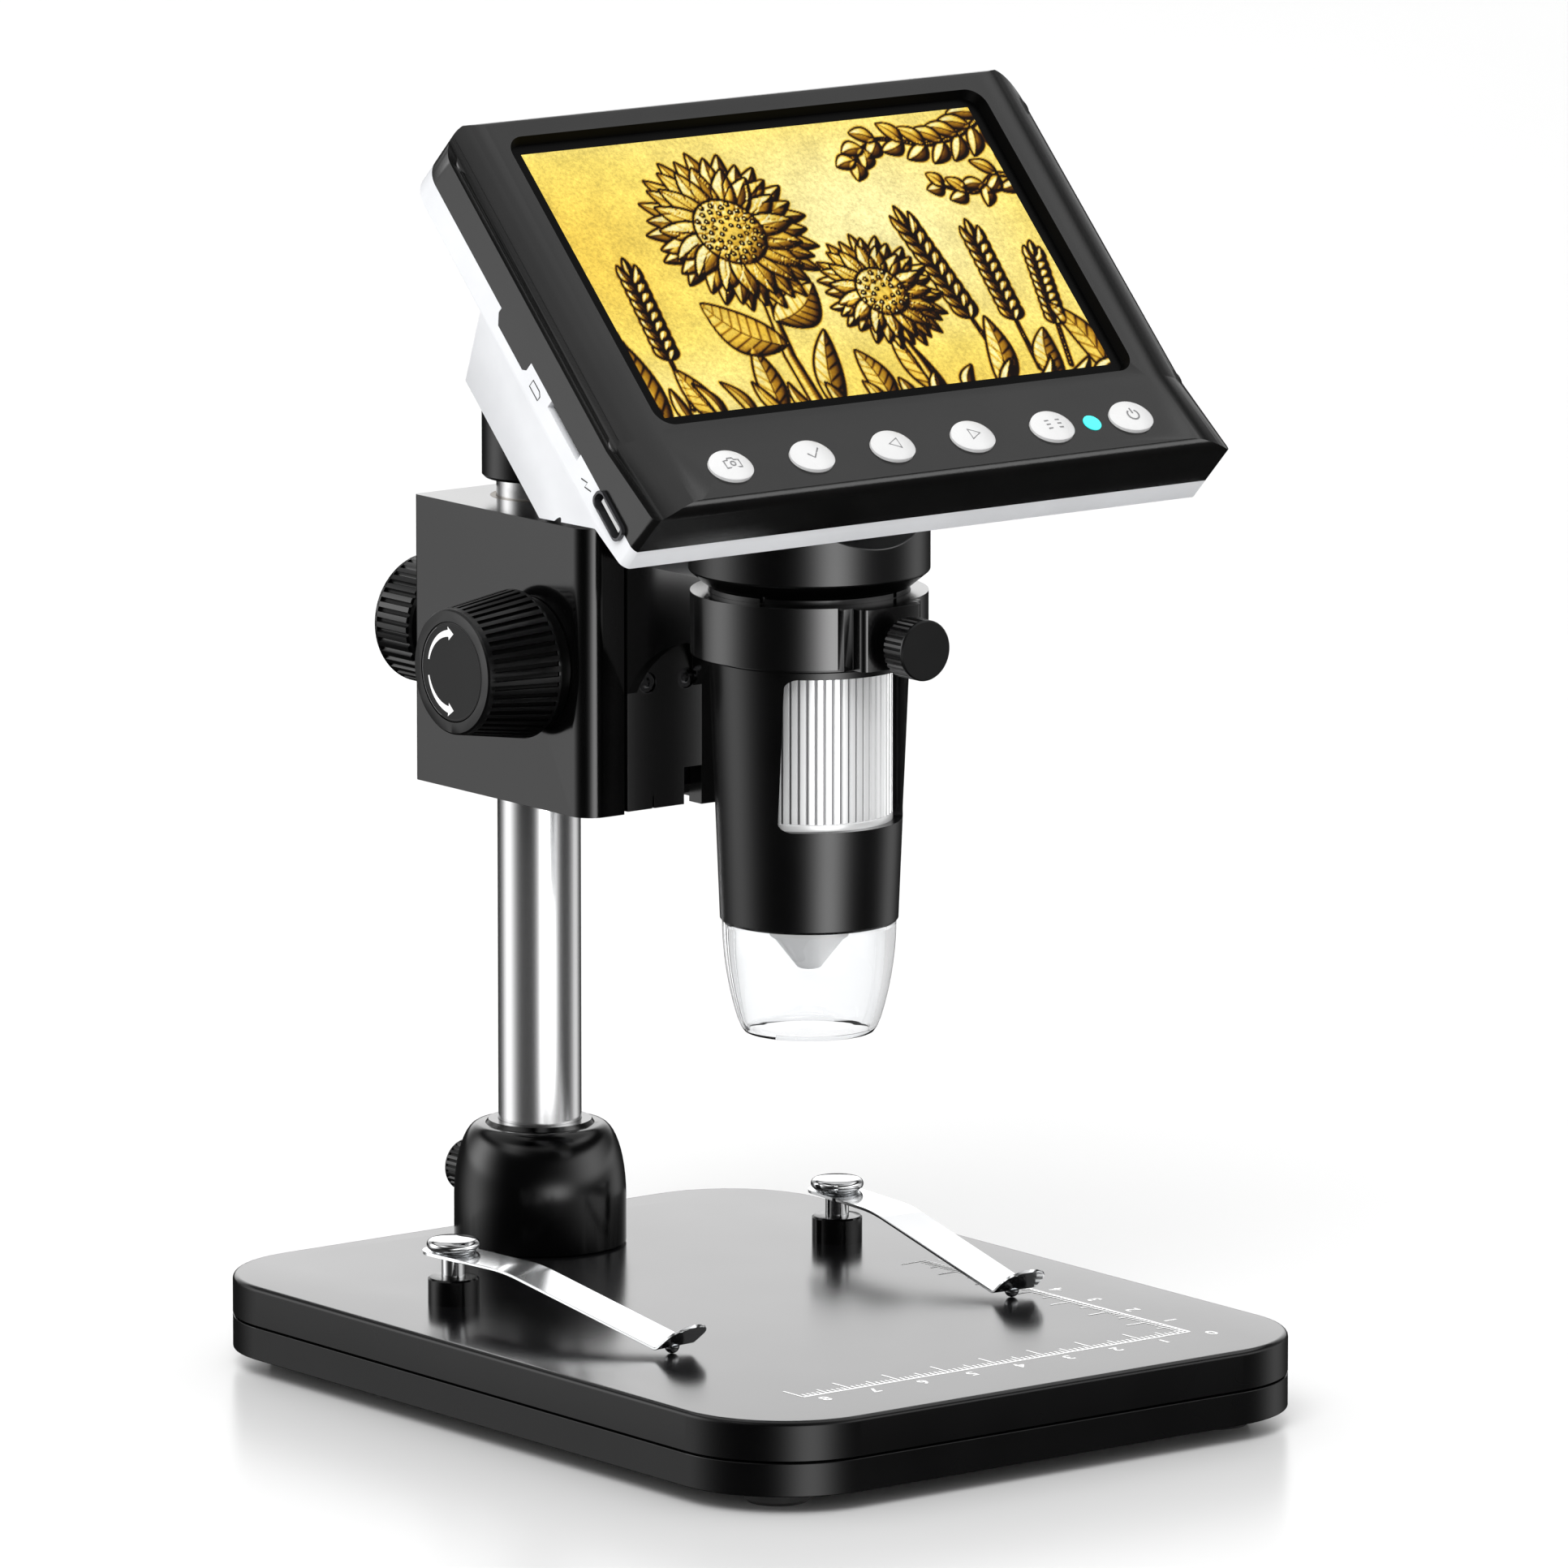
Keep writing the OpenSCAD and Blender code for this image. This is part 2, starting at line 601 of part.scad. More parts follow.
module clamp_arm() {
    arch_r = 23;
    arch_y = -1.5;
    arch_z = 102.6;
    bottom = block_z - 0.2 + 0.7;
    color("#1c1c1e") difference() {
        union() {
            // plate that slides in the mouth of the block's slot
            translate([-arm_w/2, plate_y, bottom]) cube([arm_w, plate_t, ring_top - bottom]);
            // hollow arm, arched below
            difference() {
                translate([-arm_w/2, tube_y, 112]) cube([arm_w, plate_y - tube_y + eps, ring_top - 112]);
                translate([0, arch_y, arch_z]) rotate([0, 90, 0])
                    cylinder(r = arch_r, h = 2*arm_w, center = true);
                translate([-arm_w, tube_y - 1, 100]) cube([2*arm_w, arch_y - tube_y + 1, ring_z - 100]);
                translate([-arm_w/2 + arm_wall, tube_y, 100])
                    cube([arm_w - 2*arm_wall, plate_y - tube_y, ring_top - arm_wall - 100]);
            }
            at_tube(ring_z) {
                cylinder(r = ring_d/2, h = ring_h);
                translate([-7.9, -19.4, 0]) cube([15.8, 8, ring_h]);
                translate([-4.7, -22.4, 0]) cube([9.4, 10, ring_h]);
                translate([-6, -21.1, 0]) cube([12, 9, ring_h]);
                for (s = [-1, 1]) translate([s*4.7, -21.1, 0]) cylinder(r = 1.3, h = ring_h, $fn = 32);
            }
        }
        at_tube(ring_z - 40) cylinder(r = tube_r + run, h = 60);
        at_tube(ring_screw_z) rotate([90, 0, 0]) cylinder(r = thumb_r + run, h = 40);
        for (x = arm_screw_x) translate([x, plate_y - 1, arm_screw_z]) rotate([-90, 0, 0]) {
            cylinder(r = screw_d/2 + 0.1, h = 6);
            cylinder(r = 1.75, h = 2.22);
        }
        translate([notch_x, plate_y - 1, bottom - 1]) cube([arm_w, 4, 1 + notch_top - bottom]);
        translate([-2.6, plate_y - 1, bottom - 1]) cube([0.4, 4, 1 + 96.9 - bottom]);
    }
}

module ring_thumb_screw() {
    head_h = 4.8;
    face = 30.4;         // its front face lies this far from the tube's axis
    color("#151516") at_tube(ring_screw_z) translate([0, -face, 0]) rotate([-90, 0, 0])
        thumb_screw(5, head_h, face - tube_r - 0.1 - head_h, 28);
}

// ---------- lens tube ----------

function tube_outer(z) = z > ring_z - 1 ? tube_r
    : tube_low_d/2 + (tube_r - 0.1 - tube_low_d/2)*(z - tube_low)/(ring_z - 1 - tube_low);

module tube_shell() {
    color("#19191b") at_tube() difference() {
        rotate_extrude() polygon([
            [0, tube_low], [tube_low_d/2 - 0.4, tube_low], [tube_low_d/2, tube_low + 0.4],
            [tube_outer(ring_z - 1.01), ring_z - 1.01], [tube_r, ring_z - 0.8], [tube_r, tube_top - 0.4],
            [tube_r - 0.4, tube_top], [0, tube_top]]);
        translate([0, 0, tube_low - 1]) cylinder(r = 13, h = 20);
        translate([0, 0, wheel_z - 0.1]) cylinder(r = bore_r, h = 60);
        // window over the focus wheel
        translate([0, 0, window_z + window_h/2]) rotate([90, 0, 0]) linear_extrude(30)
            rounded_rect(window_w, window_h, 1.6);
        // two small keys on the neck
        for (a = [205, 290]) rotate(a) translate([tube_r - 0.5, 0, ring_top + 0.1])
            cylinder(r = 0.7, h = 2, $fn = 32);
    }
}

module focus_wheel() {
    color("#cfd1d4") at_tube(wheel_z) difference() {
        union() {
            cylinder(r = wheel_r, h = 2.4);
            translate([0, 0, 2.4 - eps]) ribbed(wheel_r - 0.05, wheel_h - 3.9, 60, 0.35);
            translate([0, 0, wheel_h - 1.5 - 2*eps]) cylinder(r = wheel_r, h = 1.5);
        }
        translate([0, 0, -1]) cylinder(r = carrier_r + run, h = wheel_h + 2);
    }
}

module lens_carrier() {
    color("#2a2b2d") at_tube(94) {
        tube(carrier_r, 9.4, 29);
        tube(9.4 + eps, 8, 2);
    }
}

module objective_lens() {
    color("#b9d6e6") at_tube(96.02) intersection() {
        cylinder(r = 9.38, h = 5);
        translate([0, 0, 21]) sphere(r = 21);
    }
}

module sensor_board() {
    color("#1f5a38") at_tube(128.5) cylinder(r = 12.3, h = 1.4);
    color("#111111") at_tube(127.3) translate([-4, -4, 0]) cube([8, 8, 1.2 + eps]);
}

module led_board() {
    color("#e9ece8") at_tube(tube_low + 1.4) tube(13, 6.4, 1.4);
}

module leds() {
    color("#f5e9a8") at_tube(tube_low + 0.4) for (i = [0 : 7]) rotate(i*45 + 22.5)
        translate([9.6, 0, 0]) {
            translate([-1.4, -1.4, 0.3]) cube([2.8, 2.8, 0.7]);
            cylinder(r = 1.05, h = 0.4, $fn = 32);
        }
}

module lens_cone() {
    color("#e2e4e6") at_tube() rotate_extrude() polygon([
        [6.4, 90], [6.4, 80.2], [6.1, 79.6], [2, 74.4], [1.6, 74.2], [1.1, 74.2],
        [1.1, 75], [5.2, 80.4], [5.2, 90]]);
}

tip_h = 18.4;
tip_low = tube_low - tip_h;
tip_wall = 1.3;
tip_top_r = 14.3;
tip_low_r = 11.2;
// the cup narrows slowly at first and faster towards its rim
function tip_r(k) = tip_low_r + (tip_top_r - tip_low_r)*pow(sin(90*k), 0.8);
module clear_tip() {
    steps = 12;
    outer = [for (k = [0 : steps]) [tip_r(k/steps), tip_low + 0.7 + (tip_h - 0.7)*k/steps]];
    color("#dfeef5", 0.4) at_tube() rotate_extrude() polygon(concat(
        [[tip_low_r - tip_wall, tip_low + 0.6], [tip_low_r - tip_wall + 0.4, tip_low],
         [tip_low_r - 0.5, tip_low]], outer,
        [[12.95, tube_low], [12.95, tube_low + 1.3], [11.8, tube_low + 1.3]],
        [for (k = [steps : -1 : 1]) [tip_r(k/steps) - tip_wall - 0.6*k/steps, outer[k][1] - 0.4]]));
}

module head_collar() {
    top_z = 176;
    flange_w = -19.6;
    color("#101012") difference() {
        at_tube() union() {
            rotate_extrude() polygon(concat(
                [[12.3, tube_top], [17, tube_top], [collar_d/2, 140.2]],
                [for (a = [0 : 15 : 90]) [collar_d/2 - 4 + 4*cos(a), top_z - 4 + 4*sin(a)]],
                [[12.3, top_z]]));
            translate([0, 0, wheel_z + wheel_h + 0.15]) tube(bore_r - 0.05, 12.3,
                tube_top - wheel_z - wheel_h - 0.15 + eps);
        }
        at_tube(141) cylinder(r = collar_d/2 - 2.4, h = 28);
        // cut along the inside of the housing's back
        in_head() translate([-40, -80, flange_w]) cube([80, 160, 60]);
    }
}

// ---------- screen housing ----------

// front face across the housing: flat, then falling in an arc to each side edge
face_steps = 10;
face_fall = asin(edge_in/edge_arc);
face_half = [for (k = [0 : face_steps]) let (a = face_fall*k/face_steps)
    [head_r - edge_in + edge_arc*sin(a), face_w - edge_arc*(1 - cos(a))]];
module face_section(low) {
    polygon(concat([[-head_r, low], [head_r, low]],
        [for (k = [face_steps : -1 : 0]) face_half[k]],
        [for (k = [0 : face_steps]) [-face_half[k][0], face_half[k][1]]]));
}

function arc(c, r, a0, a1, n) = [for (k = [0 : n]) let (a = a0 + (a1 - a0)*k/n)
    [c[0] + r*cos(a), c[1] + r*sin(a)]];

// side outline of the front shell in (slope, out of the picture)
lip_r = 2.4;
front_outline = concat(
    [[head_top, seam_w]],
    arc([head_top - 1.6, face_w - 1.6], 1.6, 0, 90, 6),
    [[kink_v, face_w + 3]],
    [[head_low + 12, face_w + 5]],
    arc([head_low + lip_r + 0.25, face_w + 2.05 - lip_r], lip_r, 90 + chin_tilt, 184, 8),
    [[head_low + 0.35, seam_w]]);

module front_solid() {
    intersection() {
        // the button strip rises out of the picture's plane below the bend
        union() {
            rotate([90, 0, 0]) translate([0, 0, -head_top - 2]) linear_extrude(90) face_section(-14);
            on_chin() rotate([90, 0, 0]) translate([0, 0, -70]) linear_extrude(90)
                translate([0, -face_w]) face_section(-14);
        }
        rotate([90, 0, 90]) translate([0, 0, -head_r]) linear_extrude(2*head_r) polygon(front_outline);
        head_plan(60);
    }
}

// outline of the housing seen square to the picture
module head_plan(h) {
    r = 6;
    low_r = 1.8;
    translate([0, 0, -h/2]) linear_extrude(h) {
        translate([-head_r, head_low + low_r]) square([2*head_r, head_top - head_low - low_r - r]);
        translate([-head_r + low_r, head_low]) square([2*(head_r - low_r), 2*low_r]);
        translate([-head_r + r, head_top - 2*r]) square([2*(head_r - r), 2*r]);
        for (s = [-1, 1]) {
            translate([s*(head_r - r), head_top - r]) circle(r);
            translate([s*(head_r - low_r), head_low + low_r]) circle(low_r, $fn = 32);
        }
    }
}

tab_v = [-9, 2.1];
tab_depth = 2.7;
module side_tab(grow) {
    translate([-head_r, 0, 0]) rotate([90, 0, 90]) linear_extrude(wall) polygon([
        [tab_v[0] - grow, seam_w + 0.6], [tab_v[0] - grow, seam_w - tab_depth + 0.8],
        [tab_v[0] + 0.8 - grow, seam_w - tab_depth - grow],
        [tab_v[1] - 1.4 + grow, seam_w - tab_depth - grow],
        [tab_v[1] + grow, seam_w - tab_depth + 1.6], [tab_v[1] + grow, seam_w + 0.6]]);
}

port_v = -39.5;
port_w = -7.8;
module port_shape(grow, h) {
    translate([-head_r - 0.5, port_v, port_w]) rotate([90, 0, 90]) linear_extrude(h)
        rounded_rect(9.1 + 2*grow, 3.3 + 2*grow, 1.3);
}

slot_v = [-27.7, -16.8];

// opening over the picture whose sides lean out by d, corners and all
module picture_opening(a, b, r, d) {
    top = face_w + eps;
    slant = d/face_w;
    for (x = [-1, 1], y = [-1, 1]) translate([x*(a - r), y*(b - r), -eps])
        cylinder(r1 = r, r2 = r + slant*top, h = top + eps);
    rotate([90, 0, 0]) linear_extrude(2*(b - r), center = true)
        polygon([[-a, -eps], [a, -eps], [a + slant*top, top], [-a - slant*top, top]]);
    rotate([90, 0, 90]) linear_extrude(2*(a - r), center = true)
        polygon([[-b, -eps], [b, -eps], [b + slant*top, top], [-b - slant*top, top]]);
}

module front_shell() {
    color("#1e1e20") in_head() difference() {
        union() {
            difference() {
                front_solid();
                // inside, open at the back
                translate([0, 0, -20]) linear_extrude(20) translate([0, (head_top + kink_v)/2 - 0.6])
                    square([head_w - 2*wall, head_top - kink_v - 2*wall + 1.2], center = true);
                on_chin() translate([-head_r + wall, -14.4, -24]) cube([head_w - 2*wall, 15, 24 - wall]);
            }
            intersection() {
                side_tab(0);
                head_plan(60);
            }
            // bosses for the screws and pillars for the button board
            intersection() {
                at_housing_screws() translate([0, 0, boss_w]) cylinder(r = 2.8, h = -boss_w - 0.5);
                head_plan(60);
            }
            on_chin() for (x = [-1, 0, 1]) translate([x*48.2, button_y, switch_z])
                cylinder(r = 1.6, h = -switch_z - wall + 0.5, $fn = 32);
        }
        translate([0, -0.4, 0]) picture_opening(picture_w/2 + 0.5, picture_h/2 + 1.8, 2.6, 0.8);
        for (i = [-2.5 : 1 : 2.5]) on_chin() translate([i*button_pitch, button_y, -4])
            linear_extrude(12) oval(button_d/2 + 0.08, button_oval*button_d/2 + 0.08);
        on_chin() translate([lamp_x, button_y, -4]) cylinder(r = 1.62, h = 12);
        port_shape(0, 8);
        at_housing_screws() translate([0, 0, boss_w - 1]) cylinder(r = screw_d/2 + 0.02, h = 6);
    }
}

// polygon drawn again t inside its own edges (its points run anticlockwise)
function inset(p, t) = let (n = len(p)) [for (i = [0 : n - 1])
    let (a = p[(i + n - 1) % n], b = p[i], c = p[(i + 1) % n],
         u = (b - a)/norm(b - a), v = (c - b)/norm(c - b))
    b + t*[-u[1] - v[1], u[0] + v[0]]/(1 + u*v)];

// side outline of the back in (slope, out of the picture), up to w_open
function rear_outline(w_open) = [
    [head_top, w_open], [head_low + 0.35, w_open], [head_low + 0.1, back_w + 0.5], [-38.4, back_w - 1],
    [-27.5, hump_w], [0.6, hump_w], [5.4, back_w - 0.4], [head_top, back_w]];
// across the housing: the hump's sides lean in
function rear_section(w_open) = [
    [head_r, w_open], [-head_r, w_open], [-head_r, back_w], [-head_r + hump_lean, hump_w - 1],
    [head_r - hump_lean, hump_w - 1], [head_r, back_w]];

// the back's outer form, or what is t inside it and open towards the front
module rear_solid(t) {
    w_open = t > 0 ? seam_w + t + 1 : seam_w;
    intersection() {
        rotate([90, 0, 90]) translate([0, 0, -head_r]) linear_extrude(2*head_r)
            polygon(t > 0 ? inset(rear_outline(w_open), t) : rear_outline(w_open));
        rotate([90, 0, 0]) translate([0, 0, -60]) linear_extrude(120)
            polygon(t > 0 ? inset(rear_section(w_open), t) : rear_section(w_open));
        head_plan(60);
    }
}

// the four screws that hold the two shells together
module at_housing_screws() {
    for (x = [-1, 1], v = [26, kink_v + 0.2]) translate([x*55.6, v, 0]) children();
}

module rear_shell() {
    color("#f2f3f5") difference() {
        in_head() difference() {
            union() {
                difference() {
                    rear_solid(0);
                    rear_solid(wall);
                }
                intersection() {
                    rear_solid(0);
                    at_housing_screws() translate([0, 0, -40]) cylinder(r = 3.4, h = 40 + boss_w);
                }
            }
            intersection() {
                side_tab(0.08);
                head_plan(60);
            }
            // notch of the card slot
            translate([-head_r - 1, slot_v[0], board_w + board_t]) cube([wall + 2, slot_v[1] - slot_v[0], 5]);
            port_shape(0, 8);
            at_housing_screws() {
                translate([0, 0, -40]) cylinder(r = 2.9, h = 40 + boss_w - 1.8);
                translate([0, 0, -20]) cylinder(r = screw_d/2 + 0.1, h = 40);
            }
        }
        at_tube(120) cylinder(r = collar_d/2, h = 56);
    }
}

module lcd_panel() {
    color("#141a22") in_head() translate([-52.7, kink_v + 1.2, -3.6]) cube([105.4, 61.2, 3.6]);
}

module main_board() {
    color("#1f5a38") in_head() {
        translate([-50, -27, board_w]) cube([100, 56, board_t]);
        translate([-52.3, -42, board_w]) cube([14, 15 + eps, board_t]);
        for (p = [[-20, 10], [12, 14], [30, -8]])
            translate([p[0], p[1], board_w + board_t - eps]) cube([9, 9, 1.2]);
    }
}

module battery() {
    color("#9aa0a6") in_head() translate([-30, -25, board_w - 8]) cube([60, 24, 8]);
}

module button_board() {
    color("#1f5a38") in_head() on_chin() {
        translate([-50, button_y - 4.5, switch_z - 1.6]) cube([100, 9, 1.6]);
        for (i = [-2.5 : 1 : 2.5]) translate([i*button_pitch - 2, button_y - 2, switch_z - eps])
            cube([4, 4, 1]);
    }
}

// ellipse with half axes a and b
module oval(a, b) { polygon([for (t = [0 : 7.5 : 352.5]) [a*cos(t), b*sin(t)]]); }

// domed oval cap with a flange behind the strip and a stem over its switch
module button(i) {
    a = button_d/2;
    b = a*button_oval;
    dome_r = 12;
    color("#f4f4f2") in_head() on_chin() translate([i*button_pitch, button_y, 0]) {
        intersection() {
            translate([0, 0, -wall - 0.1 - eps]) linear_extrude(8) oval(a, b);
            translate([0, 0, button_rise - dome_r]) sphere(r = dome_r);
        }
        translate([0, 0, -wall - 1.1]) linear_extrude(1) oval(a + 0.6, b + 0.6);
        translate([0, 0, switch_z + 1.7]) cylinder(r = 1.3, h = -switch_z - wall - 2.7, $fn = 32);
    }
}
module button_camera() { button(-2.5); }
module button_ok() { button(-1.5); }
module button_left() { button(-0.5); }
module button_right() { button(0.5); }
module button_menu() { button(1.5); }
module button_power() { button(2.5); }

module indicator_light() {
    color("#3fe0e0") in_head() on_chin() translate([lamp_x, button_y, -wall - 0.9]) {
        cylinder(r = 1.6, h = wall + 1.05);
        cylinder(r = 2.3, h = 0.9);
    }
}

module usb_port() {
    color("#8d9094") in_head() {
        difference() {
            translate([-0.2, 0, 0]) port_shape(0, 7.4);
            translate([-1, 0, 0]) port_shape(-0.45, 7);
        }
        translate([-head_r + 0.2, port_v - 3.3, port_w - 0.35]) cube([6, 6.6, 0.7]);
    }
}

module card_slot() {
    v0 = slot_v[0] + 0.1;
    d = slot_v[1] - slot_v[0] - 0.2;
    color("#8d9094") in_head() difference() {
        translate([-head_r + 1.2, v0, board_w + board_t]) cube([14, d, 1.5]);
        translate([-head_r, v0 + 0.5, board_w + board_t + 0.35]) cube([13, d - 1, 0.8]);
    }
}

module housing_screws() {
    color("#7c7f83") in_head() at_housing_screws() translate([0, 0, boss_w - 1.8 - 1.2])
        screw(screw_d/2, 5, 2.6, 1.2);
}

base_upper_cover();
base_lower_cover();
base_ballast();
base_feet();
base_screws();
pole_socket();
socket_screws();
socket_bush();
socket_thumb_screw();
clip_collars();
clip_studs();
spring_clip_left();
spring_clip_right();
pole();
pole_cap();
focus_block();
block_bushes();
clamp_pad();
clamp_knob();
clamp_screw();
height_knob();
knob_disc();
pinion_shaft();
drive_pinion();
slide_tongue();
focus_rack();
slide_screws();
clamp_arm();
ring_thumb_screw();
tube_shell();
head_collar();
focus_wheel();
lens_carrier();
objective_lens();
sensor_board();
led_board();
leds();
lens_cone();
clear_tip();
front_shell();
rear_shell();
lcd_panel();
main_board();
battery();
button_board();
button_camera();
button_ok();
button_left();
button_right();
button_menu();
button_power();
indicator_light();
usb_port();
card_slot();
housing_screws();
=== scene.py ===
import bpy, bmesh, json, math
import numpy as np
from mathutils import Matrix, Vector


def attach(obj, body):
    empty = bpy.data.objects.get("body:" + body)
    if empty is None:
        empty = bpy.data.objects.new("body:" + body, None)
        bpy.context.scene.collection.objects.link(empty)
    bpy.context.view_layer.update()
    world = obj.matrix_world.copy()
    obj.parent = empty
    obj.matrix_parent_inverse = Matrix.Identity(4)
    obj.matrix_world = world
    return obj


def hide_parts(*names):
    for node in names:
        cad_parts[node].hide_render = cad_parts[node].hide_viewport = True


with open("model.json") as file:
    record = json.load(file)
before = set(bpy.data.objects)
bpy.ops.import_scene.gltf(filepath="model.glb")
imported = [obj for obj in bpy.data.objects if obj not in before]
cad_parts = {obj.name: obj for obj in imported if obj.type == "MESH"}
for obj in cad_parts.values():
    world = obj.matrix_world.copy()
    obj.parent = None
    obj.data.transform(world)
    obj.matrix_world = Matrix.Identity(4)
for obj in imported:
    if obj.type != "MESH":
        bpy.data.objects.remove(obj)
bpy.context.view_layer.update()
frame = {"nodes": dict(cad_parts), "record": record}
print("frame loaded,", len(frame["nodes"]), "nodes")

record = frame["record"]
bodyOf = {node: body for body, members in record["behaviour"]["bodies"].items() for node in members}
mm = 0.001
tilt, headPlace = math.radians(45), (0, -23.06, 191.45)     # the screen housing's lean and its own origin
chinTilt, kinkV, faceW = math.radians(7.5), -31.5, 1.6      # the button strip's lean, bend and face height


# Housing axes (along the screen, up its slope, out of it) in mm -> row frame in metres
def headPoint(u, v, w):
    u, v, w = np.broadcast_arrays(u, v, w)
    c, s = math.cos(tilt), math.sin(tilt)
    return np.stack([u, headPlace[1] + v*c - w*s, headPlace[2] + v*s + w*c], -1)*mm


# Button strip axes (along, up from the bend, out of the strip) in mm -> row frame in metres
def chinPoint(u, d, h):
    c, s = math.cos(chinTilt), math.sin(chinTilt)
    return headPoint(u, kinkV + d*c + h*s, faceW - d*s + h*c)


cameraSettings = {
    "place": (-1.5311, -2.0027, 0.5639),
    "right": (0.79233, -0.61009, 0),
    "up": (0.11012, 0.14302, 0.98358),
    "back": (-0.60007, -0.77932, 0.1805),
    "lens": 357.33, "sensor": 36, "near": 0.05, "far": 30,
}


# The view: a place and three unit axes, with the lens in mm
def makeCamera(s):
    data = bpy.data.cameras.new("camera")
    data.lens, data.sensor_width = s["lens"], s["sensor"]
    data.clip_start, data.clip_end = s["near"], s["far"]
    camera = bpy.data.objects.new("camera", data)
    bpy.context.scene.collection.objects.link(camera)
    turn = Matrix((s["right"], s["up"], s["back"])).transposed()
    camera.matrix_world = Matrix.Translation(s["place"]) @ turn.to_4x4()
    bpy.context.scene.camera = camera


makeCamera(cameraSettings)


# A colour from one number, a grey, or from two, a grey and its blue
def asTone(value):
    values = value if isinstance(value, tuple) else (value, value)
    return values if len(values) == 3 else (values[0], *values)


# A Principled material, its plain values on the shader's own sockets; screenBorder is named screen_border
def newMaterial(name, **sockets):
    material = bpy.data.materials.new("".join("_" + c.lower() if c.isupper() else c for c in name))
    material.use_nodes = True
    shader = material.node_tree.nodes["Principled BSDF"]
    for key, value in sockets.items():
        socket = shader.inputs[key.replace("_", " ")]
        socket.default_value = (*value, 1) if isinstance(value, tuple) else value
    return material, material.node_tree, shader


# One shader node; keyword values set its properties, or its sockets when they name one
def addNode(tree, kind, **values):
    node = tree.nodes.new(kind)
    for key, value in values.items():
        if hasattr(node, key):
            setattr(node, key, value)
        else:
            node.inputs[key.replace("_", " ")].default_value = value
    return node


# The piece's own coordinates, stretched by scale
def objectCoords(tree, scale=(1, 1, 1)):
    coords = tree.nodes.new("ShaderNodeTexCoord")
    mapping = tree.nodes.new("ShaderNodeMapping")
    mapping.inputs["Scale"].default_value = scale
    tree.links.new(coords.outputs["Object"], mapping.inputs["Vector"])
    return mapping.outputs["Vector"]


# A remap node from one range to another
def remapNode(tree, ranges, **values):
    node = addNode(tree, "ShaderNodeMapRange", **values)
    for name, value in zip(("From Min", "From Max", "To Min", "To Max"), ranges):
        node.inputs[name].default_value = value
    return node


# Fine grain: noise height -> bump -> normal
def noiseBump(tree, shader, vector, scale, strength, distance, detail=3):
    noise = addNode(tree, "ShaderNodeTexNoise", Scale=scale, Detail=detail, Roughness=0.6)
    bump = addNode(tree, "ShaderNodeBump", Strength=strength, Distance=distance)
    tree.links.new(vector, noise.inputs["Vector"])
    tree.links.new(noise.outputs["Fac"], bump.inputs["Height"])
    tree.links.new(bump.outputs["Normal"], shader.inputs["Normal"])


# Slow wandering of the gloss between two values
def noiseRoughness(tree, shader, vector, scale, low, high):
    noise = addNode(tree, "ShaderNodeTexNoise", Scale=scale, Detail=2)
    remap = remapNode(tree, (0, 1, low, high))
    tree.links.new(vector, noise.inputs["Vector"])
    tree.links.new(noise.outputs["Fac"], remap.inputs["Value"])
    tree.links.new(remap.outputs["Result"], shader.inputs["Roughness"])


# Base colour drifting between a darker and a lighter tone
def noiseColour(tree, shader, vector, scale, dark, light):
    noise = addNode(tree, "ShaderNodeTexNoise", Scale=scale, Detail=4)
    ramp = tree.nodes.new("ShaderNodeValToRGB")
    for stop, position, tone in zip(ramp.color_ramp.elements, (0.3, 0.7), (dark, light)):
        stop.position, stop.color = position, (*tone, 1)
    tree.links.new(vector, noise.inputs["Vector"])
    tree.links.new(noise.outputs["Fac"], ramp.inputs["Fac"])
    tree.links.new(ramp.outputs["Color"], shader.inputs["Base Color"])


# Injection-moulded plastic: a fine spark-eroded grain over a slowly wandering gloss
def mouldedPlastic(name, dark, light, gloss, grain=0.25, size=0.00022, depth=0.00001, shine=0.5, **sockets):
    material, tree, shader = newMaterial(name, Specular_IOR_Level=shine, **sockets)
    vector = objectCoords(tree)
    noiseColour(tree, shader, vector, 90, asTone(dark), asTone(light))
    noiseRoughness(tree, shader, vector, 60, *gloss)
    noiseBump(tree, shader, vector, 1/size, grain, depth)
    return material


# Bare metal with faint drawing marks; drawn stretches the marks along an axis
def polishedMetal(name, tone, gloss, drawn=(1, 1, 1), **sockets):
    material, tree, shader = newMaterial(name, **{"Metallic": 1, **sockets})
    vector = objectCoords(tree, drawn)
    noiseColour(tree, shader, vector, 40, tuple(0.94*c for c in tone), tone)
    noiseRoughness(tree, shader, vector, 120, *gloss)
    noiseBump(tree, shader, vector, 2500, 0.03, 0.00001)
    return material


# Clear moulding: all the light goes through, bent by a faint ripple
def clearPlastic(name):
    material, tree, shader = newMaterial(name, Base_Color=(0.985, 0.992, 1), Transmission_Weight=1,
                                         IOR=1.46, Roughness=0.02)
    vector = objectCoords(tree)
    noiseRoughness(tree, shader, vector, 80, 0.012, 0.035)
    noiseBump(tree, shader, vector, 160, 0.02, 0.00005, detail=1)
    return material


